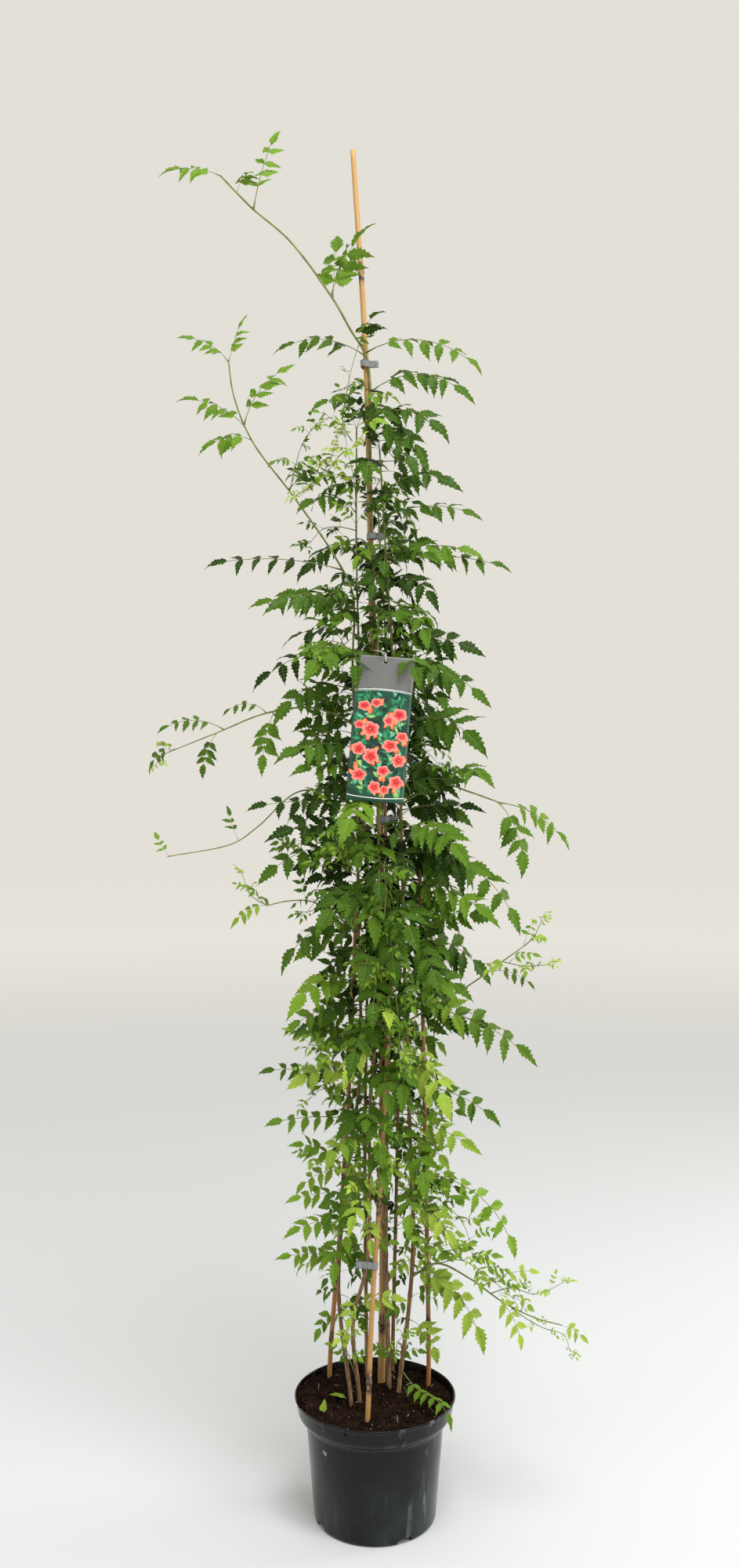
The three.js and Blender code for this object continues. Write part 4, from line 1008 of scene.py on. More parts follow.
def grow_stalk(build, midline, youth, rng, shift):
    """A leaf's stalk, drawn over at its foot onto the finer stem."""
    length = midline.length
    count = STALK["rings"] if length > STALK["long_from"] else STALK["few_rings"]
    shares = np.linspace(0, STALK["end"], count)
    centres, _ = midline.at(shares)
    if shift is not None:
        centres = centres + (1 - shares[:, None]) ** 3 * shift
    size = min(1.0, length / STALK["full_from"])
    half = LEAF["stalk_half"] * size * np.interp(shares, *zip(*STALK_THICK_AT))
    tones = (max(0.0, 0.3 - youth), 0.25 * rng.random(), 0)
    add_tube(build, centres, half, STALK["sides"], 0, tones)


def grow_leaf(build, midline, roll, pairs, leaflet, youth, rng, shift=None, looseness=1.0):
    """One pinnate leaf: its stalk, and toothed leaflets that each hang a little differently."""
    grow_stalk(build, midline, youth, rng, shift)
    key = first_over(FORM_KEYS, leaflet)
    shade = rng.random()
    for i, share in enumerate(PAIR_PLACES[pairs]):
        frame_here = leaf_frame(midline, share, roll)
        grown = 0.86 + 0.14 * math.sin(math.pi * (i + 0.9) / (pairs + 0.6))
        for sign in (1, -1):
            add_side_leaflet(build, frame_here, sign, leaflet * grown, key, (youth, shade), rng, looseness)
    point, tangent, side, above = leaf_frame(midline, LEAF["end_place"], roll)
    # the third tone is painted shade, by how deep inside the column the end leaflet lies
    tones = (youth, shade, painted_shade_at(point))
    form = leaflet_forms[key][rng.integers(FORMS_OF_EACH)]
    directions = (tangent, side, above)
    add_leaflet(build, form, point, directions, leaflet * LEAF["end_share"], LEAF["curl"], tones, True)


LOOSE = [(LEAF["forward"], 11), (LEAF["hang"], 16), (0, 22)]  # a leaflet's angles, and how much they vary


def add_side_leaflet(build, frame_here, sign, leaflet, key, tone, rng, looseness):
    """One leaflet of a pair, turned forward, hung down and twisted by angles that vary."""
    point, tangent, side, above = frame_here
    angles = (mean + loose * looseness * (2 * rng.random() - 1) for mean, loose in LOOSE)
    forward, hang, twist = map(math.radians, angles)
    level = side * sign * math.cos(forward) + tangent * math.sin(forward)
    along = level * math.cos(hang) - above * math.sin(hang)
    across = tangent * math.cos(forward) - side * sign * math.sin(forward)
    across = turned_about(along, across, twist)
    normal = unit(np.cross(across, along)) * sign
    length = leaflet * (1 + 0.1 * looseness * (2 * rng.random() - 1))
    curl = LEAF["curl"] * (0.4 + 1.3 * rng.random())
    youth, shade = tone
    youth = np.clip(youth + 0.06 * (rng.random() - 0.5), 0, 1)
    # the third tone is painted shade, by how deep inside the column the leaflet lies
    tones = (youth, 0.6 * shade + 0.4 * rng.random(), painted_shade_at(point))
    form = leaflet_forms[key][rng.integers(FORMS_OF_EACH)]
    add_leaflet(build, form, point, (along, across, normal), length, curl, tones, sign < 0)


# ---------------------------------------------------------------- the model's own leaves


def bearing_of(name, z):
    """The bearing of a stem from the main cane at a height."""
    return bearing_along(centre_at(lines[name], z) - cane_centre(z))


def angle_between(a, b):
    """How far bearing a lies past bearing b, from -180 to 180 degrees."""
    return (a - b + 180) % 360 - 180


def light_roll(bearing):
    """How far a leaf rolls so that its face looks towards the light."""
    return LIGHT["tilt"] * math.sin(math.radians(bearing - LIGHT["bearing"]))


def spiral_leaf(k):
    """Leaf k of the model's spiral, or None where no stem is left on that side."""
    z = SPIRAL["first"] + k * SPIRAL["pitch"]
    even = k * SPIRAL["golden_angle"]
    bearing = even + LIGHT["pull"] * math.sin(math.radians(LIGHT["bearing"] - even))
    hosts = [s["name"] for s in STEMS if s["leaf_range"][0] <= z <= s["leaf_range"][1]]
    if not hosts:
        return None
    off = {name: angle_between(bearing, bearing_of(name, z)) for name in hosts}
    host = min(hosts, key=lambda name: abs(off[name]))
    drawn = {
        key: SPIRAL_LEAF[key][0] + SPIRAL_LEAF[key][1] * draw(k, channel)
        for channel, key in enumerate(("share", "rise", "fall", "roll"), start=1)
    }
    length = read_off(LENGTH_AT, z) * drawn["share"]
    bearing += max(-MOST_SIDEWAYS, min(MOST_SIDEWAYS, off[host])) - off[host]
    return dict(
        host=host,
        base=centre_at(lines[host], z),
        bearing=bearing,
        rise=drawn["rise"],
        fall=drawn["fall"],
        roll=math.radians(drawn["roll"] + light_roll(bearing)),
        pairs=3 if k % SPIRAL_LEAF["three_pairs_every"] == 0 else 2,
        leaflet=length * LEAF["share"],
        length=length,
        key=k,
    )


def set_leaf(host, place, bearing, rise, fall, length, pairs, leaflet):
    """A leaf of the model that is set one by one."""
    on_stem = host in stem_curves
    base = centre_at(lines[host], place) if on_stem else centre_along(lines[host], place)
    return dict(
        host=host,
        base=base,
        bearing=bearing,
        rise=rise,
        fall=fall,
        roll=math.radians(light_roll(bearing)),
        pairs=pairs,
        leaflet=leaflet,
        length=length,
        key=(host, place),
    )


def vertex_tree(node):
    """The vertices of a node of the model, to search for the nearest."""
    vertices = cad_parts[node].data.vertices
    tree = kdtree.KDTree(len(vertices))
    for i, vertex in enumerate(vertices):
        tree.insert(vertex.co, i)
    tree.balance()
    return tree


trees = {stem["name"]: vertex_tree(stem["name"]) for stem in STEMS}


def as_modelled(leaf):
    """The midline of a leaf as the model placed or bent it; None if the model left it out."""
    tree = trees[stem_of[leaf["host"]]]
    for turn, lift in CLEARING:
        rise, fall = leaf["rise"] + lift, leaf["fall"] + lift
        midline = Arc(leaf["base"], leaf["bearing"] + turn, rise, fall, leaf["length"])
        tip = end_tip(midline, leaf["roll"], leaf["leaflet"])
        if tree.find(Vector(tip * MM))[2] < TIP_FOUND * MM:
            return midline
    return None


def nearest_on(curve, point):
    """The point of a curve that is nearest to another point."""
    centres, _ = curve.at(np.linspace(0, 1, 400))
    return centres[np.argmin(np.linalg.norm(centres - point, axis=1))]


# How young the leaves are by height: 0 is darkest green and 1 is yellow-green.
YOUTH_AT = [
    (300, 0.76), (500, 0.67), (700, 0.57), (800, 0.56), (920, 0.44), (1050, 0.31), (1200, 0.33),
    (1400, 0.31), (1560, 0.24), (1710, 0.24), (1820, 0.44), (1960, 0.6), (2050, 0.64), (2250, 0.66),
]
YOUTH_SPREAD = 0.2  # how much it varies from leaf to leaf
LEAST_YOUTH = -0.15  # the least that this adds to the youth of a leaf of the model
SHOOT_YOUTH = 0.25  # leaves of the model on a side shoot are this much younger
FRESH_AT = [(900, 0.2), (1200, 0.06), (1500, 0.03)]  # the share of fresher leaves, by height
FRESHER = 0.28  # how much younger those are
# Leaves of the model whose youth is set, by stem or shoot and place.
YOUTH_OF = {
    ("stem_leader", 2118): 0.68, ("stem_leader", 2124): 0.72, ("stem_leader", 2026): 0.55,
    ("stem_leader", 1966): 0.36, ("stem_leader", 1945): 0.34, ("stem_leader", 1893): 0.32,
    ("stem_right", 420): 0.94, ("stem_right", 578): 0.74, ("stem_right", 872): 0.5,
    ("stem_leader", 2020): 0.42, ("stem_right", 1660): 0.34, ("spray_left", 0.44): 0.5,
}


def youth_at(z):
    """How young the leaves are at a height: the darkest are two thirds of the way up."""
    return read_off(YOUTH_AT, z)


def drawn_youth(z, rng, least=-1.0):
    """The youth of one leaf at a height, before it is kept between 0 and 1."""
    more = FRESHER * (rng.random() < read_off(FRESH_AT, z))
    return youth_at(z) + more + max(least, rng.normal(0, YOUTH_SPREAD))


# ---------------------------------------------------------------- finer growth that the model leaves out

BOX_MARGIN = 0.002  # in metres, kept inside the model's box
LABEL_CLEAR = dict(sides=8, below=6, above=12, behind=14, before=190)  # kept free round the label
TIE_CLEAR = 16  # kept free before a tie, to every side of the cane's centre


def inside_box(points):
    """True if all points lie inside the model's box by the margin."""
    low = np.array(cad_box[0]) + BOX_MARGIN
    high = np.array(cad_box[1]) - BOX_MARGIN
    return bool(np.all(points * MM > low) and np.all(points * MM < high))


def hides_label(points):
    """True where something would hang in front of the label."""
    x, y, z = points.T
    hole_x, hole_y, hole_z = LABEL["hole"]
    half = LABEL["width"] / 2 + LABEL_CLEAR["sides"]
    centre = hole_x + (z - hole_z) * math.tan(math.radians(LABEL["lean"]))
    beside = np.abs(x - centre) < half
    level = (z > hole_z - LABEL["height"] - LABEL_CLEAR["below"]) & (z < hole_z + LABEL_CLEAR["above"])
    before = (y < hole_y + LABEL_CLEAR["behind"]) & (y > hole_y - LABEL_CLEAR["before"])
    return bool(np.any(beside & level & before))


def hides_tie(points):
    """True where something would hang in front of a tie."""
    x, y, z = points.T
    for tie in TIES:
        at_x, at_y, at_z = centre_at(cane_lines[tie["cane"]], tie["height"])
        beside = (np.abs(x - at_x) < TIE_CLEAR) & (np.abs(z - at_z) < TIE_CLEAR)
        if np.any(beside & (y < at_y)):
            return True
    return False


def leaf_reach(midline, leaflet):
    """Points that a leaf reaches, for the tests on the room it has."""
    centres, tangents = midline.at(np.linspace(0.2, 1, 6))
    side = unit_rows(np.cross(UP, tangents))
    drop = 0.5 * leaflet * UP
    tip = centres[-1] + tangents[-1] * leaflet
    return np.vstack([centres, centres + side * leaflet - drop, centres - side * leaflet - drop, [tip]])


YOUNG_TILT = 1.3  # how much more a young leaf rolls towards the light than a leaf of the model
YOUNG_ROLL = 16  # and how much that varies, in degrees
YOUNG_LOOSENESS = 1.6  # how much more its leaflets vary
UPRIGHT = dict(cos=0.05, tip_over=6)  # a leaf that would rise straight up has no side, so it is tipped over


def try_leaf(build, base, bearing, rise, fall, length, pairs, share, youth, rng):
    """Adds a small leaf if it stays inside the model's box and hides neither the label nor a tie."""
    midline = Arc(base, bearing, rise, fall, length)
    if abs(math.cos(midline.first)) < UPRIGHT["cos"]:
        midline = Arc(base, bearing, rise - UPRIGHT["tip_over"], fall, length)
    reach = leaf_reach(midline, length * share)
    if not inside_box(reach) or hides_label(reach) or hides_tie(reach):
        return
    roll = math.radians(rng.uniform(-YOUNG_ROLL, YOUNG_ROLL) + YOUNG_TILT * light_roll(bearing))
    grow_leaf(build, midline, roll, pairs, length * share, youth, rng, None, YOUNG_LOOSENESS)


# The young leaves that grow straight from the stems. They start `below` the model's lowest leaves, and their
# height and bearing vary by `scatter` and `turn`. Their length is a share of the model's leaves', and their
# leaflets' length is a share of their own on top of a least length.
YOUNG = dict(
    share=(0.5, 0.98), rise=(-6, 58), fall=(-80, -4), least_leaflet=9, leaflet=0.29,
    pitch=30, below=50, scatter=12, turn=34, fresher=0.04,
)
YOUNG_SIZE_AT = [
    (350, 0.8), (480, 0.86), (560, 0.76), (740, 0.78), (860, 0.95), (1380, 1), (1500, 0.84), (1800, 0.8),
]
YOUNG_PAIRS = [(120, 4), (70, 3), (0, 2)]  # those longer than each length have so many pairs of leaflets
YOUNG_TO = dict(stem_rear_left=1730, stem_back=1720)  # where they end on these stems
LEFT_CUT = 0.3  # how much shorter they are on the left, where the column is flatter
INWARD = dict(from_angle=118, size=0.7, shade=0.2)  # those that grow in towards the cane; `shade` makes them darker green, as older leaves and as painted shade inside the column
END_TUFT = 110  # scales the leaves at the end of a stem that has no free part


def young_leaves(build, stem, rng):
    """Opposite pairs of smaller leaves at a stem's nodes, each pair crosswise to the last."""
    curve, line = stem_curves[stem["name"]], lines[stem["name"]]
    low, high = stem["leaf_range"]
    high = min(high, YOUNG_TO.get(stem["name"], high))
    for k, z in enumerate(np.arange(low - YOUNG["below"], high, YOUNG["pitch"])):
        z = z + rng.uniform(-YOUNG["scatter"], YOUNG["scatter"])
        base = nearest_on(curve, centre_at(line, z))
        outward = bearing_of(stem["name"], z)
        for side in (0, 180):
            bearing = outward + 90 * (k % 2) + side + rng.uniform(-YOUNG["turn"], YOUNG["turn"])
            inward = abs(angle_between(bearing, outward)) > INWARD["from_angle"]
            length = read_off(LENGTH_AT, z) * read_off(YOUNG_SIZE_AT, z) * (INWARD["size"] if inward else 1)
            leftwards = max(0, -math.cos(math.radians(bearing)))
            length *= rng.uniform(*YOUNG["share"]) * (1 - LEFT_CUT * leftwards)
            # inward leaves are darker green: older leaves, and painted shade inside the column
            youth = np.clip(drawn_youth(z, rng) + YOUNG["fresher"] - INWARD["shade"] * inward, 0, 1)
            rise, fall = rng.uniform(*YOUNG["rise"]), rng.uniform(*YOUNG["fall"])
            pairs = first_over(YOUNG_PAIRS, length)
            share = YOUNG["leaflet"] + YOUNG["least_leaflet"] / length
            try_leaf(build, base, bearing, rise, fall, length, pairs, share, youth, rng)


# A young shoot: its radius and its end's share of it, the gap between its pairs of leaves, the share of its
# length before the first, how much their bearings vary, how far they stand off the shoot's own bearing, and
# their leaflets' share of their length.
TWIG = dict(
    radius=1.0, end=0.45, ring_step=12, sides=5, gap=30, first=0.15, turn=25, spread=0.75, leaflet=0.34,
)
TWIG_PAIRS = [(40, 3), (22, 2), (0, 1)]
# The small folded leaves at a shoot's tip.
TUFT = dict(count=5, apart=38, turn=10, most_up=82, leaflet=0.42)


def level_and_rise(tangent):
    """The bearing of a direction, and its angle above the horizontal, in degrees."""
    return bearing_along(tangent), math.degrees(math.asin(np.clip(tangent[2], -1, 1)))


def grow_twig(build, points, rng, first=TWIG["first"], gap=TWIG["gap"], leaf=46, youth=0.8, tuft=True):
    """A thin young shoot through points, with small opposite leaves and a tuft at its tip."""
    curve = Spline(points)
    count = max(5, int(curve.length / TWIG["ring_step"]))
    centres, _ = curve.at(np.linspace(0, 1, count))
    if not inside_box(centres):
        return
    radii = np.linspace(TWIG["radius"], TWIG["end"] * TWIG["radius"], count)
    add_tube(build, centres, radii, TWIG["sides"], 0, (max(0, 0.25 - 0.3 * youth), 0.1, 0))
    turn = rng.uniform(0, 180)
    for k, run in enumerate(np.arange(first * curve.length, curve.length, gap)):
        share = run / curve.length
        base, tangent = (rows[0] for rows in curve.at(share))
        size = leaf * (1 - 0.5 * share) * rng.uniform(0.8, 1.2)
        level, _ = level_and_rise(tangent)
        for side in (0, 180):
            bearing = turn + 90 * (k % 2) + side + rng.uniform(-TWIG["turn"], TWIG["turn"])
            bearing = level + TWIG["spread"] * angle_between(bearing, level)
            rise = rng.uniform(15, 60) + 18 * tangent[2]
            pairs = first_over(TWIG_PAIRS, size)
            tone = np.clip(youth - 0.12 + 0.25 * share + rng.uniform(-0.1, 0.1), 0, 1)
            fall = rise - rng.uniform(20, 80)
            try_leaf(build, base, bearing, rise, fall, size, pairs, TWIG["leaflet"], tone, rng)
    if tuft:
        grow_tuft(build, curve, leaf, min(1, youth + 0.15), rng)


def grow_tuft(build, curve, leaf, youth, rng):
    """The small folded leaves at a shoot's tip."""
    base, tangent = (rows[0] for rows in curve.at(1))
    level, rise = level_and_rise(tangent)
    for k in range(TUFT["count"]):
        fanned = (k - TUFT["count"] // 2) * TUFT["apart"]
        bearing = level + fanned + rng.uniform(-TUFT["turn"], TUFT["turn"])
        up = min(TUFT["most_up"], rise * 0.5 + 28 + rng.uniform(-10, 14))
        size = leaf * rng.uniform(0.3, 0.5)
        try_leaf(build, base, bearing, up, up - 40, size, 1, TUFT["leaflet"], youth, rng)


# Shoots that stand clear of the column or before it: their leaves' length, their youth and their points.
SET_TWIGS = [
    (60, 0.93, [(-34, 14, 1700), (-33, 4, 1740), (-37, -4, 1806), (-49, -8, 1857), (-52, -10, 1884)]),
    (49, 0.95, [(-50, -8, 1852), (-62, -12, 1842), (-94, -20, 1798), (-132, -26, 1768)]),
    (61, 0.75, [(-40, 20, 1876), (-56, 12, 1900), (-49, 8, 1962), (-38, 4, 2010), (-30, 2, 2034)]),
    (55, 0.6, [(20, -60, 1150), (14, -78, 1131), (18, -84, 1095), (16, -86, 1050), (21, -84, 1004)]),
    (61, 0.68, [(40, -50, 960), (34, -72, 936), (37, -80, 892), (44, -82, 798)]),
    (64, 0.62, [(66, -30, 930), (68, -62, 908), (66, -70, 860), (64, -70, 814)]),
    (52, 0.66, [(8, -50, 868), (16, -66, 850), (44, -74, 812)]),
    (58, 0.66, [(10, -40, 640), (6, -62, 690), (9, -66, 664), (12, -66, 640)]),
    (32, 0.95, [(226, -18, 374), (258, -40, 356), (290, -50, 342), (322, -54, 334), (332, -56, 306)]),
    (42, 0.9, [(200, -14, 388), (236, -30, 404), (276, -44, 398), (320, -50, 420)]),
    (70, 0.75, [(110, 8, 432), (150, -20, 448), (196, -36, 424), (236, -46, 392)]),
    (62, 0.75, [(96, 10, 520), (130, -20, 536), (154, -40, 512), (166, -50, 470)]),
    (50, 0.68, [(32, 46, 236), (36, 24, 268), (40, 4, 296), (50, -8, 312)]),
    (50, 0.68, [(-36, -8, 246), (-44, -26, 282), (-50, -38, 308), (-40, -46, 326)]),
    (44, 0.95, [(262, -18, 994), (276, -24, 1010), (286, -28, 1034)]),
    (46, 0.9, [(221, -14, 964), (258, -30, 958), (296, -40, 962)]),
    (49, 1, [(-350, -10, 1331), (-368, -14, 1322), (-380, -16, 1306)]),
    (49, 0.85, [(-186, -20, 1062), (-214, -24, 1078), (-228, -26, 1112)]),
    (62, 0.55, [(-150, 15, 1786), (-140, 6, 1824), (-131, 0, 1856), (-112, -4, 1888)]),
    (50, 0.75, [(-143, 16, 1777), (-108, 4, 1796), (-80, -4, 1834), (-66, -8, 1872)]),
]
# Short shoots round the column, about the bearing `towards`. Their length holds where the model's leaves are
# `full_at` long, and follows those elsewhere. A stem carries them from `below` its lowest leaf on.
FRONT_TWIGS = dict(
    count=48, low=440, high=1780, length=(60, 140), leaf=(48, 84), full_at=150, towards=270, spread=62,
    below=90, first=0.3, gap=32, with_tuft=0.5,
)
# Their route, in shares of the length: outwards, up for its lift, down for its droop and aside.
FRONT_ROUTE = [(0.33, 0.3, 0, 0.2), (0.62, 0.45, 0.1, 0.6), (0.85, 0.5, 0.45, 1)]


def front_twigs(build, rng):
    """Short shoots all round the column, most of them to the front, where they hide the bare stems."""
    low, high = FRONT_TWIGS["low"], FRONT_TWIGS["high"]
    for k in range(FRONT_TWIGS["count"]):
        z = low + (high - low) * (k + rng.random()) / FRONT_TWIGS["count"]
        bearing = FRONT_TWIGS["towards"] + rng.normal(0, FRONT_TWIGS["spread"])
        hosts = [s for s in STEMS if s["leaf_range"][0] - FRONT_TWIGS["below"] <= z <= s["leaf_range"][1]]
        host = min(hosts, key=lambda s: abs(angle_between(bearing, bearing_of(s["name"], z))))
        start = nearest_on(stem_curves[host["name"]], centre_at(lines[host["name"]], z))
        scale = read_off(LENGTH_AT, z) / FRONT_TWIGS["full_at"]
        length = scale * rng.uniform(*FRONT_TWIGS["length"])
        lift = rng.uniform(0.1, 0.7)
        droop = rng.uniform(-0.3, 0.8)
        out = heading(bearing)
        aside = heading(bearing + 90) * rng.uniform(-0.25, 0.25)
        points = [start]
        for away, up, down, beside in FRONT_ROUTE:
            points.append(start + length * (away * out + (up * lift - down * droop) * UP + beside * aside))
        youth = np.clip(youth_at(z) + rng.uniform(0, 0.26), 0, 1)
        leaf = rng.uniform(*FRONT_TWIGS["leaf"])
        tuft = rng.random() < FRONT_TWIGS["with_tuft"]
        grow_twig(build, points, rng, FRONT_TWIGS["first"], FRONT_TWIGS["gap"], leaf, youth, tuft)


# ---------------------------------------------------------------- stems

# Stems: the gap between two nodes, how far apart rings lie, how much a node swells and how far the swelling
# and its shade spread, the radii between which a stem turns woody, and its radius as a share of the model's.
STEM = dict(node_gap=62, ring_step=7, swell=0.2, spread=5, shade_spread=3, woody=(1.9, 3.0), drawn_in=0.97)
STEM_SIDES = dict(thick=12, thin=8, thick_from=3)


def grow_stem(build, name):
    """A stem or shoot as a smooth tube, swollen at its nodes and woodier where it is thick."""
    curve, radii = curves[name], radii_of[name]
    count = int(curve.length / STEM["ring_step"])
    shares = np.linspace(0, 1, count)
    centres, _ = curve.at(shares)
    radius = np.interp(shares, [0, 1], radii)
    off_node = (shares * curve.length) % STEM["node_gap"] - STEM["node_gap"] / 2
    swell = 1 + STEM["swell"] * bell(off_node, STEM["spread"])
    woody = smooth_step(radius, *STEM["woody"])
    node_shade = bell(off_node, STEM["shade_spread"])
    tones = np.stack([woody, 0.7 * node_shade, np.zeros(count)], axis=1)
    sides = STEM_SIDES["thick"] if radii[0] > STEM_SIDES["thick_from"] else STEM_SIDES["thin"]
    add_tube(build, centres, radius * swell * STEM["drawn_in"], sides, 0, tones)


def grow_vine(stem, materials):
    """One leafy stem of the model with its shoots and leaves, finer, and its own young leaves."""
    name = stem["name"]
    rng = np.random.default_rng(sum(map(ord, name)))
    build = Build()
    for member in [m for m, host in stem_of.items() if host == name]:
        grow_stem(build, member)
    for leaf in [leaf for leaf in wanted if stem_of[leaf["host"]] == name]:
        grow_modelled(build, leaf, rng)
    young_leaves(build, stem, rng)
    if not stem["free"]:
        grow_tuft(build, stem_curves[name], END_TUFT, youth_at(stem["leaf_range"][1]), rng)
    grow_aimed_leaves(build, name, rng)
    if name == TRAILING["stem"]:
        grow_trailing(build, rng)
    build.piece(name + "_growth", materials, [name])


def grow_modelled(build, leaf, rng):
    """A leaf of the model in its own place and pose, with more and finer leaflets."""
    midline = as_modelled(leaf)
    if midline is None:
        return
    shift = nearest_on(curves[leaf["host"]], leaf["base"]) - leaf["base"]
    youth = drawn_youth(leaf["base"][2], rng, LEAST_YOUTH) + SHOOT_YOUTH * (leaf["host"] in shoot_curves)
    youth = YOUTH_OF.get(leaf["key"], np.clip(youth, 0, 1))
    pairs = max(FINE_PAIRS[leaf["pairs"]], LONG_PAIRS if leaf["length"] > LONG_LEAF else 0)
    leaflet = leaf["leaflet"] * read_off(BROADER_AT, leaf["base"][2])
    grow_leaf(build, midline, leaf["roll"], pairs, leaflet, youth, rng, shift)


AIMED_LEAFLET = dict(least=22, share=0.2)  # their leaflets' length, and how much of the leaf's is added
AIMED_REACH = 0.9  # how far along the line to its aim a leaf's stalk ends, as the end leaflet goes further
# Large leaves placed by their tips: stem, height, level place of the tip, rise, fall, pairs and youth.
AIMED_LEAVES = [
    ("stem_left", 1500, (-32, -104), 16, -48, 3, 0.36),
    ("stem_right", 1496, (70, -100), 20, -52, 3, 0.4),
    ("stem_front", 600, (-52, -86), 10, -66, 2, 0.42),
    ("stem_left", 560, (-84, -30), 16, -72, 2, 0.5),
    ("stem_front", 700, (10, -96), 24, -64, 2, 0.5),
    ("stem_left", 470, (-70, -58), 20, -50, 2, 0.6),
    ("stem_right", 640, (84, -60), 16, -60, 2, 0.55),
    ("stem_front", 860, (-40, -112), 20, -60, 3, 0.45),
    ("stem_right", 990, (104, -70), 16, -58, 3, 0.5),
    ("stem_front", 780, (24, -84), 18, -62, 3, 0.5),
    ("stem_front", 930, (-4, -100), 22, -58, 3, 0.4),
    ("stem_right", 800, (46, -78), 14, -60, 3, 0.5),
    ("stem_right", 560, (58, -40), 10, -62, 2, 0.62),
    ("stem_left", 700, (-46, -60), 14, -66, 3, 0.52),
    ("stem_front", 640, (16, -70), 12, -64, 2, 0.56),
    ("stem_leader", 1915, (112, -30), 26, -44, 3, 0.36),
    ("stem_leader", 1872, (66, -46), 12, -60, 2, 0.34),
]


def grow_aimed_leaves(build, name, rng):
    """The leaves of one stem that are placed by their tips."""
    for stem, z, (x, y), rise, fall, pairs, youth in AIMED_LEAVES:
        if stem == name:
            base = centre_at(lines[stem], z)
            across, away = x - base[0], y - base[1]
            bearing = bearing_along((across, away))
            level = Arc(base, bearing, rise, fall, 1.0).at(1)[0][0] - base
            length = AIMED_REACH * math.hypot(across, away) / math.hypot(level[0], level[1])
            midline = Arc(base, bearing, rise, fall, length)
            leaflet = AIMED_LEAFLET["least"] + AIMED_LEAFLET["share"] * length
            grow_leaf(build, midline, math.radians(light_roll(bearing)), pairs, leaflet, youth, rng)


SPRIG = dict(pairs=5, leaflet=0.76, youth=0.62, looseness=0.3)  # its leaflets are a share of the model's


def grow_trailing(build, rng):
    """The sprig that lies on the soil and hangs over the rim."""
    start = centre_at(lines[TRAILING["stem"]], TRAILING["height"])
    midline = Spline([start, *TRAILING["points"]])
    leaflet = SPRIG["leaflet"] * TRAILING["leaflet"]
    grow_leaf(build, midline, 0.0, SPRIG["pairs"], leaflet, SPRIG["youth"], rng, None, SPRIG["looseness"])


wanted = [set_leaf(host, *row) for host, rows in SET_LEAVES.items() for row in rows]
wanted += [leaf for leaf in map(spiral_leaf, range(SPIRAL["count"])) if leaf]

# ---------------------------------------------------------------- canes

CANE_STAIN = dict(cane_main=0.1, cane_left=0.9, cane_right=0.9, cane_front=0.5)  # how red-brown each is
CANE_RING_STEP = 18
CANE_SIDES = 20
NODE_RINGS = (-14, -9, -6, -5, -4, -3, -2, -1, 0, 1, 2, 3.5, 6, 9, 14)  # where rings lie about a node
# At a node, a share of the radius as a broad swell and as a sharp ridge, and a groove in mm below them.
NODE_SWELL = dict(size=0.1, spread=6)
NODE_RIDGE = dict(size=0.09, spread=1.6)
NODE_GROOVE = dict(depth=0.35, below=4.2, spread=1.1)
NODE_MOTTLE = 16  # how far the mottle of a node spreads
FOOT_SHADE = dict(at_foot=0.9, higher=0.25, height=260)  # how much darker a cane is towards its foot; it fades out at its top
CANE_BORE = dict(share=0.5, depth=12)
BORE_PAINTED_SHADE = [[0.4, 0.6, 0], [1, 1, 0]]  # at its edge and its floor: painted shade that darkens the hollow top down to its floor


def make_cane(cane, material):
    """A bamboo cane: its nodes have a ridge over a groove, and its cut top is hollow, with painted shade
    inside it.
    """
    curve = Spline(cane["points"])
    nodes = np.arange(cane["first_node"], curve.length - CANE["plain_top"], cane["spacing"])
    plain = np.arange(0, curve.length, CANE_RING_STEP)
    about_nodes = (nodes[:, None] + np.array(NODE_RINGS)).ravel()
    runs = np.unique(np.concatenate([plain, about_nodes, [curve.length]]))
    off = runs[:, None] - nodes
    off = off[np.arange(len(runs)), np.abs(off).argmin(axis=1)]
    radii = np.interp(runs, [0, curve.length], cane["radii"])
    swell = NODE_SWELL["size"] * bell(off, NODE_SWELL["spread"])
    radii = radii * (1 + swell + NODE_RIDGE["size"] * bell(off, NODE_RIDGE["spread"]))
    radii -= NODE_GROOVE["depth"] * bell(off + NODE_GROOVE["below"], NODE_GROOVE["spread"])
    centres, tangents = curve.at(runs / curve.length)
    shades = [FOOT_SHADE["at_foot"], FOOT_SHADE["higher"], 0.0]
    shade = np.interp(runs, [0, FOOT_SHADE["height"], curve.length], shades)
    stain = np.full(len(runs), CANE_STAIN[cane["name"]])
    tones = np.stack([bell(off, NODE_MOTTLE), shade, stain], axis=1)
    top, ahead = centres[-1], tangents[-1]
    bore = CANE_BORE["share"] * radii[-1]
    centres = np.vstack([centres, top - 0.01 * ahead, top - CANE_BORE["depth"] * ahead])
    radii = np.concatenate([radii, [bore, bore]])
    build = Build()
    add_cane_tube(build, centres, radii, np.vstack([tones, BORE_PAINTED_SHADE]))
    build.piece(cane["name"] + "_bamboo", [material], [cane["name"]])


def add_cane_tube(build, centres, radii, tones):
    """A tube whose last two rings turn back into it, so its directions come from the outer rings."""
    outer = np.gradient(centres[:-2], axis=0)
    tangents = unit_rows(np.vstack([outer, outer[-1:], outer[-1:]]))
    across = unit_rows(np.array([1.0, 0, 0]) - tangents[:, :1] * tangents)
    rings = rings_about(centres, radii, across, CANE_SIDES, tangents)
    add_rings(build, centres, rings, CANE_SIDES, tones=tones)


# ---------------------------------------------------------------- pot and soil

POT_SIDES = 160
RING_FROM = POT["foot"] - NOTCH["depth"] - NOTCH["wall"]  # the raised ring of the floor over the notches
RING_TOP = NOTCH["height"] + NOTCH["wall"]
CUT_PAST = 12  # how far a block that cuts a notch reaches past the foot
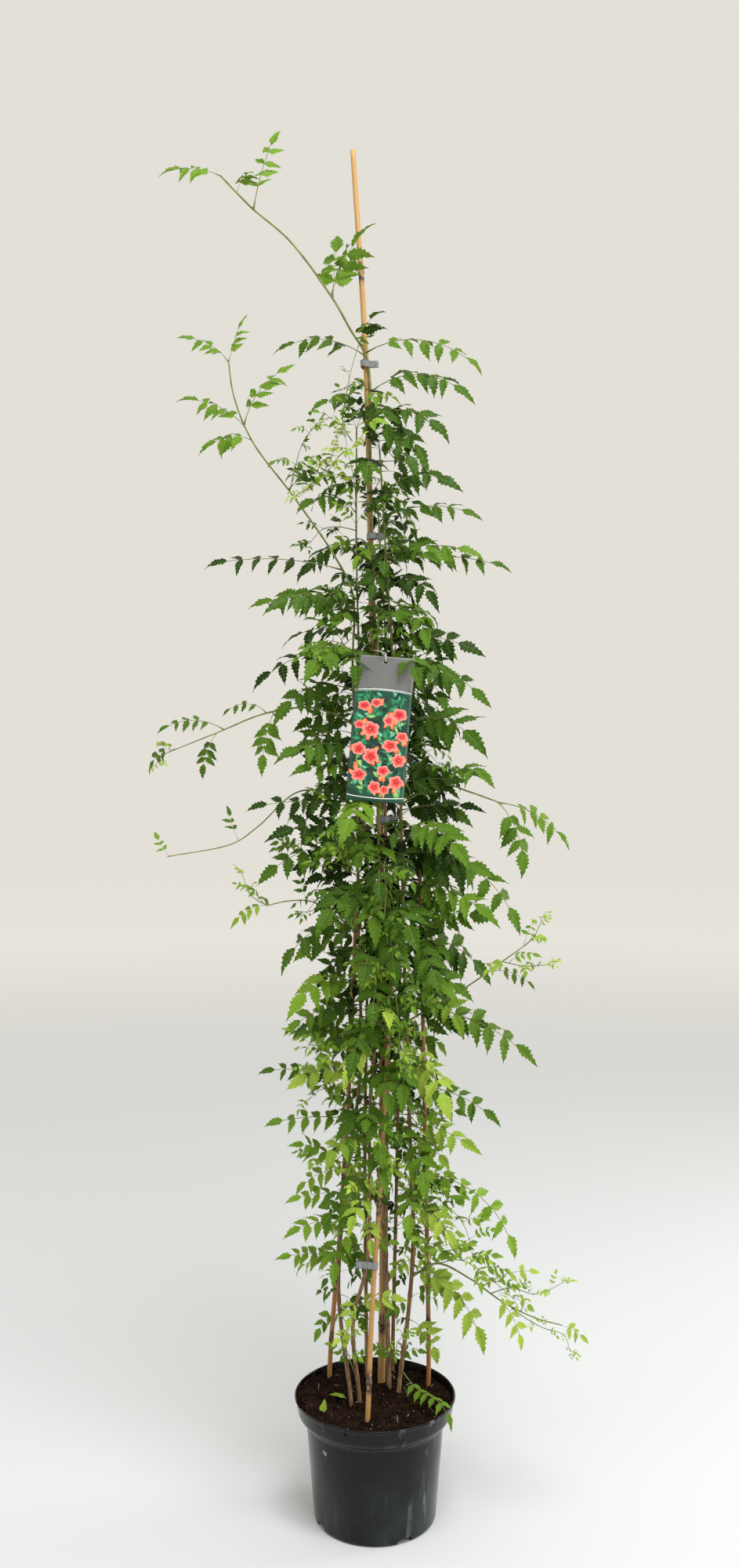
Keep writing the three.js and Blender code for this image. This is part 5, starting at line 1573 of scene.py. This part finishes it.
# The block's outline, as shares of half the notch's width and of its height.
NOTCH_ARCH = [(-1, -1), (1, -1), (1, 0.5), (0.8, 0.92), (0.6, 1), (-0.6, 1), (-0.8, 0.92), (-1, 0.5)]


def inner_radius(z):
    """The pot's inside radius at a height."""
    if z < SHOULDER:
        return POT["foot"] + (POT["body"] - POT["foot"]) * z / SHOULDER - POT["wall"]
    share = (z - SHOULDER) / POT["collar_height"]
    return POT["collar"] + (POT["rim"] - POT["collar"]) * share - POT["wall"]


def pot_profile():
    """The pot's section: radius, height and fillet, from the underside round the rim and down inside."""
    height, wall = POT["height"], POT["wall"]
    return rounded([
        (0, 0, 0),
        (POT["foot"] - 1.5, 0, 6),
        (POT["body"] - 0.4, SHOULDER - 5, 8),
        (POT["collar"] - 0.8, SHOULDER + 3, 9),
        (POT["rim"] - 1.6, height - 5, 2),
        (POT["rim"], height - 3.6, 1.2),
        (POT["rim"], height, 1.4),
        (POT["rim"] - wall - 0.4, height, 1.2),
        (inner_radius(SHOULDER + wall) - 1, SHOULDER + wall + 2, 5),
        (POT["body"] - wall, SHOULDER - 2, 5),
        (inner_radius(RING_TOP), RING_TOP, 2),
        (RING_FROM, RING_TOP, 1),
        (RING_FROM, POT["floor"], 1),
        (0, POT["floor"], 0),
    ])


def notch_cutters():
    """Blocks with rounded tops that cut the drainage notches out of the foot."""
    build = Build()
    arch = [(y * NOTCH["width"] / 2, z * NOTCH["height"]) for y, z in NOTCH_ARCH]
    near, far = POT["foot"] - NOTCH["depth"], POT["foot"] + CUT_PAST
    for k in range(NOTCH["count"]):
        out = heading(NOTCH["first"] + 360 * k / NOTCH["count"])
        across = np.cross(UP, out)
        ends = [np.array([r * out + y * across + z * UP for y, z in arch]) for r in (near, far)]
        hubs = np.array([end.mean(axis=0) for end in ends])
        build.add(np.vstack([*ends, hubs]), capped(2, len(arch)))
    return build.piece("notch_cutters", [])


def make_pot(material):
    """The pot, turned in one piece, with its notches cut out."""
    build = Build()
    add_lathe(build, pot_profile(), POT_SIDES)
    pot = build.piece("pot_plastic", [material], ["pot"])
    cutters = notch_cutters()
    cut = pot.modifiers.new("notches", "BOOLEAN")
    cut.operation = "DIFFERENCE"
    cut.object = cutters
    cut.solver = "EXACT"
    with bpy.context.temp_override(object=pot, active_object=pot):
        bpy.ops.object.modifier_apply(modifier=cut.name)
    bpy.data.objects.remove(cutters)
    pot.data.polygons.foreach_set("use_smooth", np.ones(len(pot.data.polygons), bool))
    pot.data.set_sharp_from_angle(angle=math.radians(35))


def soil_height(x, y):
    """The model's soil surface."""
    dish = SOIL["dip"] * ((x * x + y * y) / POT["body"] ** 2 - 0.6)
    clods = np.sin(0.11 * x + 0.4) * np.cos(0.13 * y) + 0.6 * np.sin(0.23 * x - 0.19 * y)
    return SOIL["level"] + dish + SOIL["relief"] * clods - 0.02 * x


SOIL_RINGS = 96
SOIL_SIDES = 220
# Where the soil is heaped against the wall: it rises between these two distances from the middle.
HEAP = dict(bearing=192, spread=46, rise=13, between=(60, 132))
SOIL_EDGE = dict(width=10, drop=1, smoother=0.6)  # where the soil meets the wall, it is level and smoother
CRUMB_NOISE = [(3.4, 19), (2.4, 8), (1.6, 3.6)]  # three sizes of crumbs: height and pitch
CRUMBS = dict(count=520, inset=6, size=(1.2, 4.2))
HEAPED_CRUMBS = dict(count=90, spread=24, inside=14, outside=4, size=(1.5, 4))
PALE_SPECKS = dict(count=46, inset=8, size=(0.5, 1.2))
# A loose crumb's rings, as (radius, height) shares of its size, and its lowest and highest point.
CRUMB_SIDES = 6
CRUMB_RINGS = [(0.75, -0.5), (1.0, 0.05), (0.62, 0.6)]
CRUMB_ENDS = (-0.8, 0.85)
CRUMB = dict(rise=0.3, lumpy=(0.7, 1.3), stretched=(0.6, 1.2))
FIBRES = dict(count=110, inset=26, length=(7, 22), bend=60, lift=(0.3, 2.2), radius=(0.15, 0.45), pale=0.25)
FIBRE_STEPS = 4


def crumb_height(x, y):
    """Small crumbs on the soil, from three sizes of noise."""
    return sum(size * noise.noise(Vector((x, y, 7.0)) * (1 / pitch)) for size, pitch in CRUMB_NOISE)


def heap_at(x, y):
    """How much higher the soil is heaped."""
    bearing = np.degrees(np.arctan2(y, x))
    near = math.exp(-((angle_between(bearing, HEAP["bearing"]) / HEAP["spread"]) ** 2))
    return HEAP["rise"] * near * smooth_step(np.hypot(x, y), *HEAP["between"])


def fine_soil_height(x, y):
    """The soil's surface with its crumbs and heap, drawn level where it meets the wall."""
    wall = inner_radius(SOIL["level"])
    edge = smooth_step(np.hypot(x, y), wall - SOIL_EDGE["width"], wall)
    level = soil_height(x, y) * (1 - edge) + (SOIL["level"] - SOIL_EDGE["drop"]) * edge
    return float(level + crumb_height(x, y) * (1 - SOIL_EDGE["smoother"] * edge) + heap_at(x, y))


def soil_body(wall):
    """The soil's points and faces: up the pot's inside from its underside, and in over its crumbed top."""
    turn = full_turn(SOIL_SIDES)
    under = [
        (RING_FROM - GAP, POT["floor"] + GAP),
        (RING_FROM - GAP, RING_TOP + GAP),
        (inner_radius(RING_TOP) - GAP, RING_TOP + GAP),
        (POT["body"] - POT["wall"] - GAP, SHOULDER - 1),
        (inner_radius(SHOULDER + 5) - GAP, SHOULDER + 5),
    ]
    rings = [ring_at(turn, r, z) for r, z in under]
    for r in np.linspace(wall, 2, SOIL_RINGS):
        ring = ring_at(turn, r, 0)
        ring[:, 2] = [fine_soil_height(x, y) for x, y, _ in ring]
        rings.append(ring)
    hubs = [[0, 0, under[0][1]], [0, 0, fine_soil_height(0, 0)]]
    return np.vstack([*rings, hubs]), capped(len(rings), SOIL_SIDES)


def over_disc(rng, reach):
    """A bearing and a radius, drawn evenly over a disc."""
    return rng.uniform(0, 360), reach * math.sqrt(rng.random())


def make_soil(material, speck):
    """The soil: a crumbed surface over a plain body, with chips, fibres and pale specks on it."""
    build = Build()
    wall = inner_radius(SOIL["level"]) - GAP
    build.add(*soil_body(wall))
    rng = np.random.default_rng(5)
    for _ in range(CRUMBS["count"]):
        add_crumb(build, rng, *over_disc(rng, wall - CRUMBS["inset"]), rng.uniform(*CRUMBS["size"]), 0)
    for _ in range(HEAPED_CRUMBS["count"]):
        bearing = HEAP["bearing"] + rng.normal(0, HEAPED_CRUMBS["spread"])
        radius = rng.uniform(wall - HEAPED_CRUMBS["inside"], wall + HEAPED_CRUMBS["outside"])
        add_crumb(build, rng, bearing, radius, rng.uniform(*HEAPED_CRUMBS["size"]), 0)
    for _ in range(PALE_SPECKS["count"]):
        place = over_disc(rng, wall - PALE_SPECKS["inset"])
        add_crumb(build, rng, *place, rng.uniform(*PALE_SPECKS["size"]), 1)
    for _ in range(FIBRES["count"]):
        add_fibre(build, rng, wall - FIBRES["inset"])
    build.piece("soil_peat", [material, speck], ["soil"], smooth=False)


def add_crumb(build, rng, bearing, radius, size, look):
    """An uneven lump, flattened a little, sunk into the soil by a third."""
    x, y, _ = radius * heading(bearing)
    centre = np.array([x, y, fine_soil_height(x, y) + CRUMB["rise"] * size])
    turn = full_turn(CRUMB_SIDES) + rng.random()
    rings = [ring_at(turn, r, z) for r, z in CRUMB_RINGS]
    points = np.vstack([*rings, [[0, 0, z] for z in CRUMB_ENDS]])
    lumps = rng.uniform(*CRUMB["lumpy"], (len(points), 1))
    points = points * lumps * size * rng.uniform(*CRUMB["stretched"], 3)
    build.add(points + centre, capped(len(rings), CRUMB_SIDES), look)


def add_fibre(build, rng, reach):
    """A thin root or straw lying on the soil."""
    start = reach * math.sqrt(rng.random()) * heading(rng.uniform(0, 360))
    way, bend = rng.uniform(0, 360), rng.uniform(-FIBRES["bend"], FIBRES["bend"])
    length = rng.uniform(*FIBRES["length"])
    centres = [start]
    for k in range(FIBRE_STEPS):
        centres.append(centres[-1] + length / FIBRE_STEPS * heading(way + bend * k / FIBRE_STEPS))
    lift = rng.uniform(*FIBRES["lift"])
    centres = np.array([(x, y, fine_soil_height(x, y) + lift) for x, y, _ in centres])
    radii = np.full(len(centres), rng.uniform(*FIBRES["radius"]))
    add_tube(build, centres, radii, 4, 1 if rng.random() < FIBRES["pale"] else 0)


# ---------------------------------------------------------------- ties, label, loop and fallen leaflets


# A tie's tape: how much wider and further off it runs than the cane, half the gap between its two ends, its
# thickness, the points round each end of its outline and the rows of points across it.
TAPE = dict(wider=1.1, off=0.4, half_gap=0.35, thick=0.45, points=13, rows=5)
TAIL_PLACES = (0.95, 0.7, 0.4, 0.15)  # of the points along a tail, as shares of its length
CRUMPLE = dict(size=0.03, pitch=9)  # how the tape waves across its width
STAPLE = dict(place=0.45, off=0.75, sides=6)
STAPLE_RINGS = [(-4, 0.2), (-3.4, 0.35), (0, 0.35), (3.4, 0.35), (4, 0.2)]  # height and radius


def radius_on_cane(cane, z):
    """A cane's plain radius at a height."""
    line = cane_lines[cane["name"]]
    runs = runs_along(line)
    return float(np.interp(np.interp(z, line[:, 2], runs), [0, runs[-1]], cane["radii"]))


def tape_path(apart, radius, tail):
    """The tape's level outline round two centres, with its tail's direction and how far out that starts."""
    outline = []
    for half, first in ((apart / 2, -90), (-apart / 2, 90)):
        for a in np.radians(np.linspace(first, first + 180, TAPE["points"])):
            outline.append((half + radius * math.cos(a), radius * math.sin(a)))
    outline = np.array(outline)
    angles = np.unwrap(np.arctan2(outline[:, 1], outline[:, 0]))
    start = int(np.argmin(np.abs((angles - tail + math.pi) % (2 * math.pi) - math.pi)))
    outline = np.roll(outline, -start, axis=0)
    away = np.array([math.cos(tail), math.sin(tail)])
    reach = outline[0].dot(away)
    ends = [away * (reach + TIE["tail"] * s) for s in TAIL_PLACES]
    aside = np.array([-away[1], away[0]]) * TAPE["half_gap"]
    path = np.vstack([[e + aside for e in ends], outline[1:-1], [e - aside for e in ends[::-1]]])
    return path, away, reach


def make_tie(tie, materials):
    """A band of tape round a cane and a stem, its two ends stapled together into a tail."""
    cane = next(c for c in CANES if c["name"] == tie["cane"])
    centre = centre_at(cane_lines[tie["cane"]], tie["height"])
    stem = centre_at(lines[tie["stem"]], tie["height"])
    axis = unit(centre_at(cane_lines[tie["cane"]], tie["height"] + TIE["axis_span"]) - centre)
    middle = (centre + stem) / 2
    apart = math.hypot(*(stem - centre)[:2])
    bearing = bearing_along(stem - centre)
    radius = (radius_on_cane(cane, tie["height"]) + TIE["clearance"]) * TAPE["wider"] + TAPE["off"]
    path, away, reach = tape_path(apart, radius, math.radians(tie["tail_bearing"] - bearing))
    side_x = unit(heading(bearing) - heading(bearing).dot(axis) * axis)
    side_y = np.cross(axis, side_x)
    rows = []
    for lift in np.linspace(-0.5, 0.5, TAPE["rows"]):
        wave = 1 + CRUMPLE["size"] * math.sin(CRUMPLE["pitch"] * lift + tie["height"])
        flat = path * wave
        rows.append(middle + flat[:, :1] * side_x + flat[:, 1:] * side_y + lift * TIE["height"] * axis)
    build = Build()
    add_sheet(build, np.array(rows), TAPE["thick"])
    staple = middle + (reach + STAPLE["place"] * TIE["tail"]) * (away[0] * side_x + away[1] * side_y)
    flat_y = -away[1] * side_x + away[0] * side_y
    heights, radii = np.array(STAPLE_RINGS).T
    for face in (-1, 1):
        line = staple + heights[:, None] * axis + face * STAPLE["off"] * flat_y
        add_tube(build, line, radii, STAPLE["sides"], 1)
    build.piece(tie["name"] + "_tape", materials, [tie["name"]])


def rim_of(rows, columns):
    """The indices round the edge of a grid of points."""
    last = (rows - 1) * columns
    top = range(last + columns - 2, last - 1, -1)
    sides = range(2 * columns - 1, rows * columns, columns), range(last - columns, 0, -columns)
    return np.array([*range(columns), *sides[0], *top, *sides[1]])


def add_sheet(build, rows, thick):
    """A thin closed strip between a grid of points and the same grid pushed out by its thickness."""
    n, m, _ = rows.shape
    normal = unit_rows(np.cross(np.gradient(rows, axis=1), np.gradient(rows, axis=0)))
    points = np.vstack([rows.reshape(-1, 3), (rows + thick * normal).reshape(-1, 3)])
    under = grid_faces(n, m)[:, ::-1]
    over = grid_faces(n, m) + n * m
    rim = rim_of(n, m)
    ahead = np.roll(rim, -1)
    edge = np.stack([rim, ahead, ahead + n * m, rim + n * m], axis=1)
    build.add(points, [under, over, edge])


def label_points(flat, layer):
    """Puts points (x, z) of the flat label into place; a layer of print lies a little in front of it."""
    x, z = np.asarray(flat, float).T
    y = LABEL["bow"] * (2 * x / LABEL["width"]) ** 2 - layer
    lean = math.radians(LABEL["lean"])
    cos, sin = math.cos(lean), math.sin(lean)
    return np.array(LABEL["hole"]) + np.stack([x * cos + z * sin, y, z * cos - x * sin], axis=1)


LABEL_TOP = LABEL["hole_drop"]
LABEL_FOOT = LABEL_TOP - LABEL["height"]
HEAD_FOOT = LABEL_TOP - LABEL["head"]
PRINT_STEP = 0.12  # between two layers of print
# The layers, from the card outwards: the leaves take several, one above the other.
LAYERS = dict(leaves=1, leaves_span=4, tube=6, blossom=7, line=9)
CARD_ROWS = dict(body=30, head=20)
HOLE_CLEAR = 1.6  # the card's grid is left out within so many radii of its hole


def label_sides(z):
    """The label's left and right edge at a height below its hole."""
    half = LABEL["width"] / 2
    up = max(0.0, (z - HEAD_FOOT) / LABEL["head"])
    return -half + LABEL["head_shift"] * up, half + LABEL["head_flare"] * up


def card_grid(levels, inset, columns=24):
    """Rows of points across the flat label at the levels, `inset` in from its two sides."""
    grid = []
    for z in levels:
        left, right = label_sides(z)
        grid.append([(x, z) for x in np.linspace(left + inset, right - inset, columns)])
    return np.array(grid)


def add_card(build, looks):
    """The card itself: a thin bowed sheet with a round hole that its loop runs through."""
    body = np.linspace(LABEL_FOOT, HEAD_FOOT, CARD_ROWS["body"])
    head = np.linspace(HEAD_FOOT, LABEL_TOP, CARD_ROWS["head"])[1:]
    grid = card_grid([*body, *head], 0)
    rows, columns, _ = grid.shape
    grid = grid.reshape(-1, 2)
    near = np.linalg.norm(grid, axis=1) < HOLE_CLEAR * LABEL["hole_radius"]
    faces = grid_faces(rows, columns)
    dropped = near[faces].any(axis=1)
    ring = np.unique(faces[dropped][~near[faces[dropped]]])
    turn = np.arctan2(grid[ring][:, 1], grid[ring][:, 0])
    ring, turn = ring[np.argsort(turn)], np.sort(turn)
    hole = LABEL["hole_radius"] * np.stack([np.cos(turn), np.sin(turn)], axis=1)
    flat = np.vstack([grid, hole])
    n = len(flat)
    inner = len(grid) + np.arange(len(ring))
    bridge = np.stack([ring, np.roll(ring, -1), np.roll(inner, -1), inner], axis=1)
    in_head = grid[faces].mean(axis=1)[:, 1] > HEAD_FOOT
    sheet = {"grey": np.vstack([faces[~dropped & in_head], bridge]), "deep": faces[~dropped & ~in_head]}
    points = np.vstack([label_points(flat, 0), label_points(flat, -0.5 * LABEL["thick"])])
    start = build.count
    back = np.vstack(list(sheet.values()))[:, ::-1] + n
    build.add(points, [back, *card_edges(rim_of(rows, columns), inner, n)])
    for name, front in sheet.items():
        build.add_faces(front + start, looks[name])


def card_edges(rim, inner, n):
    """The faces round the card's outer edge and through its hole."""
    ahead, inner_ahead = np.roll(rim, -1), np.roll(inner, -1)
    yield np.stack([ahead, rim, rim + n, ahead + n], axis=1)
    yield np.stack([inner, inner_ahead, inner_ahead + n, inner + n], axis=1)


def add_print(build, outline, layer, look, hub=None):
    """A flat printed shape as a fan; its tone goes from 0 at its hub to 1 at its outline."""
    outline = np.asarray(outline, float)
    hub = outline.mean(axis=0) if hub is None else hub
    points = label_points(np.vstack([outline, [hub]]), layer * PRINT_STEP)
    tones = np.ones((len(points), 3))
    tones[-1] = 0
    build.add(points, [fan_faces(len(outline), np.arange(len(outline)))], look, tones=tones)


def add_printed_line(build, z, thick, look, arch):
    """A thin pale line across the label, arched up in its middle."""
    grid = card_grid((z, z + thick), 0.7)
    grid[:, :, 1] += arch * (1 - np.linspace(-1, 1, grid.shape[1]) ** 2)
    points = label_points(grid.reshape(-1, 2), LAYERS["line"] * PRINT_STEP)
    build.add(points, [grid_faces(*grid.shape[:2])], look)


def oval(centre, long, wide, angle, pointed=0.0, count=12):
    """An outline of half length `long` and half width `wide`, fuller at one end if it is pointed."""
    turn = full_turn(count)
    shape = np.stack([long * np.cos(turn), wide * np.sin(turn) * (1 - pointed * np.cos(turn))], axis=1)
    cos, sin = math.cos(angle), math.sin(angle)
    return np.asarray(centre) + shape @ np.array([[cos, sin], [-sin, cos]])


def on_card(outline):
    """An outline kept inside the card's two sides."""
    half = LABEL["width"] / 2 - 0.8
    return np.stack([np.clip(outline[:, 0], -half, half), outline[:, 1]], axis=1)


def add_blossom(build, centre, size, angle, looks, rng):
    """A plain five-lobed blossom seen from the front, with buds and the tube of another behind it."""
    for _ in range(3):
        behind = angle + rng.uniform(-1.3, 1.3)
        out = np.array([math.cos(behind), math.sin(behind)])
        at = np.array(centre) + rng.uniform(0.7, 1.1) * size * out
        tube = oval(at, rng.uniform(0.4, 0.75) * size, 0.24 * size, behind, -0.35)
        add_print(build, on_card(tube), LAYERS["tube"], looks["tube"])
    turn = full_turn(50)
    reach = size * (0.7 + 0.3 * np.abs(np.cos(2.5 * (turn - angle))) ** 0.6)
    squash = rng.uniform(0.72, 1.0)
    outline = np.stack([reach * np.cos(turn), squash * reach * np.sin(turn)], axis=1)
    hub = np.array(centre) + size * rng.uniform(-0.12, 0.12, 2)
    add_print(build, on_card(outline + centre), LAYERS["blossom"] + rng.random(), looks["blossom"], hub)


# Where blossoms are printed: across, up from the hole, and size.
BLOSSOMS = [
    (-30, -76, 12), (-10, -70, 10), (30, -88, 14), (13, -99, 10), (-36, -108, 10), (-16, -115, 15),
    (37, -124, 11), (18, -141, 14), (-34, -149, 12), (-13, -160, 14), (34, -165, 12), (10, -184, 12),
    (-31, -193, 14), (33, -202, 13), (-3, -212, 11), (14, -216, 9),
]
PRINTED_LEAVES = 230
PRINTED_LINES = [(HEAD_FOOT - 3.4, 1.3, 3.2), (HEAD_FOOT - 5.6, 0.7, 3.8), (LABEL_FOOT + 9, 1.3, -3.2)]
LEAF_INKS = dict(leaf=0.4, dark=0.3, mint=0.2, bright=0.1)  # the share of each


def make_label(inks):
    """The picture card: a bare grey heading over a plain pattern of blossoms and leaves."""
    build = Build()
    looks = {name: i for i, name in enumerate(inks)}
    add_card(build, looks)
    rng = np.random.default_rng(21)
    for k in range(PRINTED_LEAVES):
        z = rng.uniform(LABEL_FOOT + 13, HEAD_FOOT - 6)
        x = rng.uniform(-0.42, 0.42) * LABEL["width"]
        long = rng.uniform(4, 12)
        shape = on_card(oval((x, z), long, rng.uniform(0.25, 0.45) * long, rng.uniform(0, 6.28), 0.5))
        kind = rng.choice(list(LEAF_INKS), p=list(LEAF_INKS.values()))
        layer = LAYERS["leaves"] + LAYERS["leaves_span"] * k / PRINTED_LEAVES
        add_print(build, shape, layer, looks[kind])
    for x, z, size in BLOSSOMS:
        add_blossom(build, (x, z), size, rng.uniform(0, 6.28), looks, rng)
    for z, thick, arch in PRINTED_LINES:
        add_printed_line(build, z, thick, looks["card"], arch)
    build.piece("label_card", list(inks.values()), ["label"])


LOOP_STEPS = 120
LOOP_SIDES = 10


def make_loop(material):
    """The white loop, round its stem, over the label's top edge and back through its hole."""
    x, y, z = LABEL["hole"]
    line, side, high = lines["stem_front"], LOOP["side"], z + LOOP["rise"]
    held = centre_at(line, high)
    share = np.interp(high, line[:, 2], np.linspace(0, 1, len(line)))
    back = float(np.interp(share, [0, 1], radii_of["stem_front"])) + LOOP["radius"] + LOOP["slack"]
    between = ((held[0] + x) / 2, (held[1] + y) / 2)
    seat = LABEL["hole_radius"] - LOOP["radius"] - 2 * GAP
    route = [
        (held[0], held[1] + back, high),
        (held[0] - side, held[1] - 2, high),
        (between[0] - 4, between[1], z + 21),
        (x - 1, y + 5, z + 15),
        (x, y - 4, z + 13),
        (x, y - 6, z + 5),
        (x, y - 0.5, z + seat),
        (x + 1, y + 6, z + seat),
        (between[0] + 4, between[1], z + 14),
        (held[0] + side, held[1] - 2, high - 2),
    ]
    curve = Spline(route, closed=True)
    centres, tangents = curve.at(np.linspace(0, 1, LOOP_STEPS + 1)[:-1])
    across = unit_rows(np.cross(tangents, UP))
    points = rings_about(centres, LOOP["radius"], across, LOOP_SIDES, tangents)
    faces = grid_faces(LOOP_STEPS + 1, LOOP_SIDES, closed=True) % len(points)
    build = Build()
    build.add(points, [faces])
    build.piece("label_loop_plastic", [material], ["label_loop"])


FALLEN_RISE = dict(fallen_leaflet_left=38, fallen_leaflet_middle=8)  # degrees that they stand up by
FALLEN_FORM = leaflet_forms[(5, 2)][1]
FALLEN_LIFT = 2.6  # above the lowest point of the model's leaflet
# the third tone is painted shade: the fallen leaflets get half the darkening of leaves deep inside the
# column
FALLEN_TONES = (0.9, 0.2, 0.5)


def make_fallen(leaflet, materials):
    """A cut leaflet that lies on the soil, a little dried and curled."""
    low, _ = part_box(leaflet["name"])
    x, y = leaflet["at"]
    rise = math.radians(FALLEN_RISE[leaflet["name"]])
    level = heading(leaflet["bearing"])
    along = level * math.cos(rise) + UP * math.sin(rise)
    across = np.cross(UP, level)
    normal = np.cross(along, across)
    build = Build()
    start = np.array([x, y, low[2] / MM + FALLEN_LIFT])
    directions = (along, across, normal)
    add_leaflet(build, FALLEN_FORM, start, directions, leaflet["length"], 0.02, FALLEN_TONES, False)
    centres = np.array([start - 4 * along + 0.3 * UP, start - 2 * along, start + 2 * along])
    add_tube(build, centres, np.array([0.7, 0.6, 0.4]), 5, 0, (0.1, 0.1, 0))
    build.piece(leaflet["name"] + "_blade", materials, [leaflet["name"]])


# ---------------------------------------------------------------- put together

bamboo_look = bamboo()
for cane in CANES:
    make_cane(cane, bamboo_look)

growth_looks = [bark(), leaf_green()]
for stem in STEMS:
    grow_vine(stem, growth_looks)

twig_rng = np.random.default_rng(31)
twigs = Build()
for leaf_length, youth, points in SET_TWIGS:
    grow_twig(twigs, points, twig_rng, leaf=leaf_length, youth=youth)
front_twigs(twigs, twig_rng)
twigs.piece("young_shoots", growth_looks)

make_pot(black_plastic())
make_soil(peat(), ink("pale_speck", (0.42, 0.36, 0.28)))

tape_looks = [grey_tape(), metal()]
for tie in TIES:
    make_tie(tie, tape_looks)

make_label({
    "card": ink("card", (0.8, 0.82, 0.8), 0.1),
    "grey": ink("grey", (0.17, 0.175, 0.17), 0.2, 90),
    "deep": ink("deep_green", (0.01, 0.11, 0.06), 0.9, 90),
    "leaf": shaded_ink("leaf", [
        (0, (0.04, 0.34, 0.12)), (0.5, (0.015, 0.2, 0.08)), (1, (0.004, 0.06, 0.03)),
    ]),
    "dark": shaded_ink("dark_leaf", [(0, (0.006, 0.05, 0.025)), (1, (0.001, 0.012, 0.008))]),
    "mint": shaded_ink("mint_leaf", [
        (0, (0.2, 0.58, 0.36)), (0.6, (0.07, 0.36, 0.22)), (1, (0.01, 0.12, 0.08)),
    ]),
    "bright": shaded_ink("bright_leaf", [(0, (0.42, 0.66, 0.2)), (1, (0.07, 0.25, 0.07))]),
    "tube": shaded_ink("tube", [(0, (0.92, 0.5, 0.2)), (0.6, (0.85, 0.2, 0.07)), (1, (0.6, 0.07, 0.04))]),
    "blossom": shaded_ink("blossom", [
        (0, (0.8, 0.36, 0.08)), (0.1, (0.3, 0.005, 0.012)), (0.3, (0.52, 0.015, 0.025)),
        (0.55, (0.82, 0.07, 0.06)), (0.8, (0.86, 0.2, 0.16)), (1, (0.8, 0.35, 0.3)),
    ]),
})
make_loop(white_plastic())
for leaflet in FALLEN:
    make_fallen(leaflet, growth_looks)

# ---------------------------------------------------------------- stage, light and camera

FLOOR_RADIUS = 30  # metres
FLOOR_SIDES = 96


def make_floor():
    """A pale round floor, so wide that its edge is lost against the equally pale surroundings."""
    mesh = bpy.data.meshes.new("studio_floor")
    rim = ring_at(full_turn(FLOOR_SIDES), FLOOR_RADIUS, 0)
    mesh.from_pydata(rim.tolist(), [], [list(range(FLOOR_SIDES))])
    mesh.materials.append(studio_white())
    floor = bpy.data.objects.new("studio_floor", mesh)
    bpy.context.scene.collection.objects.link(floor)


# Name, place and aim in metres, size and power in watts.
LIGHTS = [
    ("soft_left", (-2.6, -1.9, 1.9), (0, 0, 0.9), (1.2, 3.0), 18),
    ("soft_right", (2.6, -1.9, 1.9), (0, 0, 0.9), (1.2, 3.0), 50),
    ("edge_left", (-2.7, 0.7, 1.3), (0, 0, 0.6), (1.0, 2.4), 7),
    ("edge_right", (2.7, 0.8, 1.3), (0, 0, 0.6), (1.0, 2.4), 31),
    ("top", (0.5, -1.5, 4.2), (0, 0, 1.0), (1.4, 1.4), 96),
]
WORLD = dict(colour=(1.0, 0.965, 0.885), strength=0.77)


def add_light(name, place, aim, size, power):
    """A soft white lamp that the camera doesn't see."""
    light = bpy.data.lights.new(name, "AREA")
    light.shape = "RECTANGLE"
    light.size, light.size_y = size
    light.energy = power
    obj = bpy.data.objects.new(name, light)
    obj.location = place
    obj.rotation_euler = (Vector(aim) - Vector(place)).to_track_quat("-Z", "Y").to_euler()
    obj.visible_camera = False
    bpy.context.scene.collection.objects.link(obj)


def make_world(colour, strength):
    """Even light from all round."""
    world = bpy.data.worlds.new("studio")
    world.use_nodes = True
    background = world.node_tree.nodes["Background"]
    background.inputs["Color"].default_value = rgba(colour)
    background.inputs["Strength"].default_value = strength
    bpy.context.scene.world = world


PHOTO_HEIGHT = 2000  # pixels, the frame's longer side
FOCAL = 1654  # pixels
CAMERA = (-9.6, -2264, 1272)
SENSOR = 36
CLIP = (0.05, 60)  # metres


def make_camera():
    """A level camera; the sensor's size is that of the frame's longer side."""
    camera = bpy.data.cameras.new("camera")
    camera.sensor_width = SENSOR
    camera.lens = FOCAL / PHOTO_HEIGHT * SENSOR
    camera.clip_start, camera.clip_end = CLIP
    obj = bpy.data.objects.new("camera", camera)
    obj.location = Vector(CAMERA) * MM
    obj.rotation_euler = (math.pi / 2, 0, 0)
    bpy.context.scene.collection.objects.link(obj)
    bpy.context.scene.camera = obj


bpy.context.scene.view_settings.view_transform = "Standard"
make_floor()
for row in LIGHTS:
    add_light(*row)
make_world(**WORLD)
make_camera()
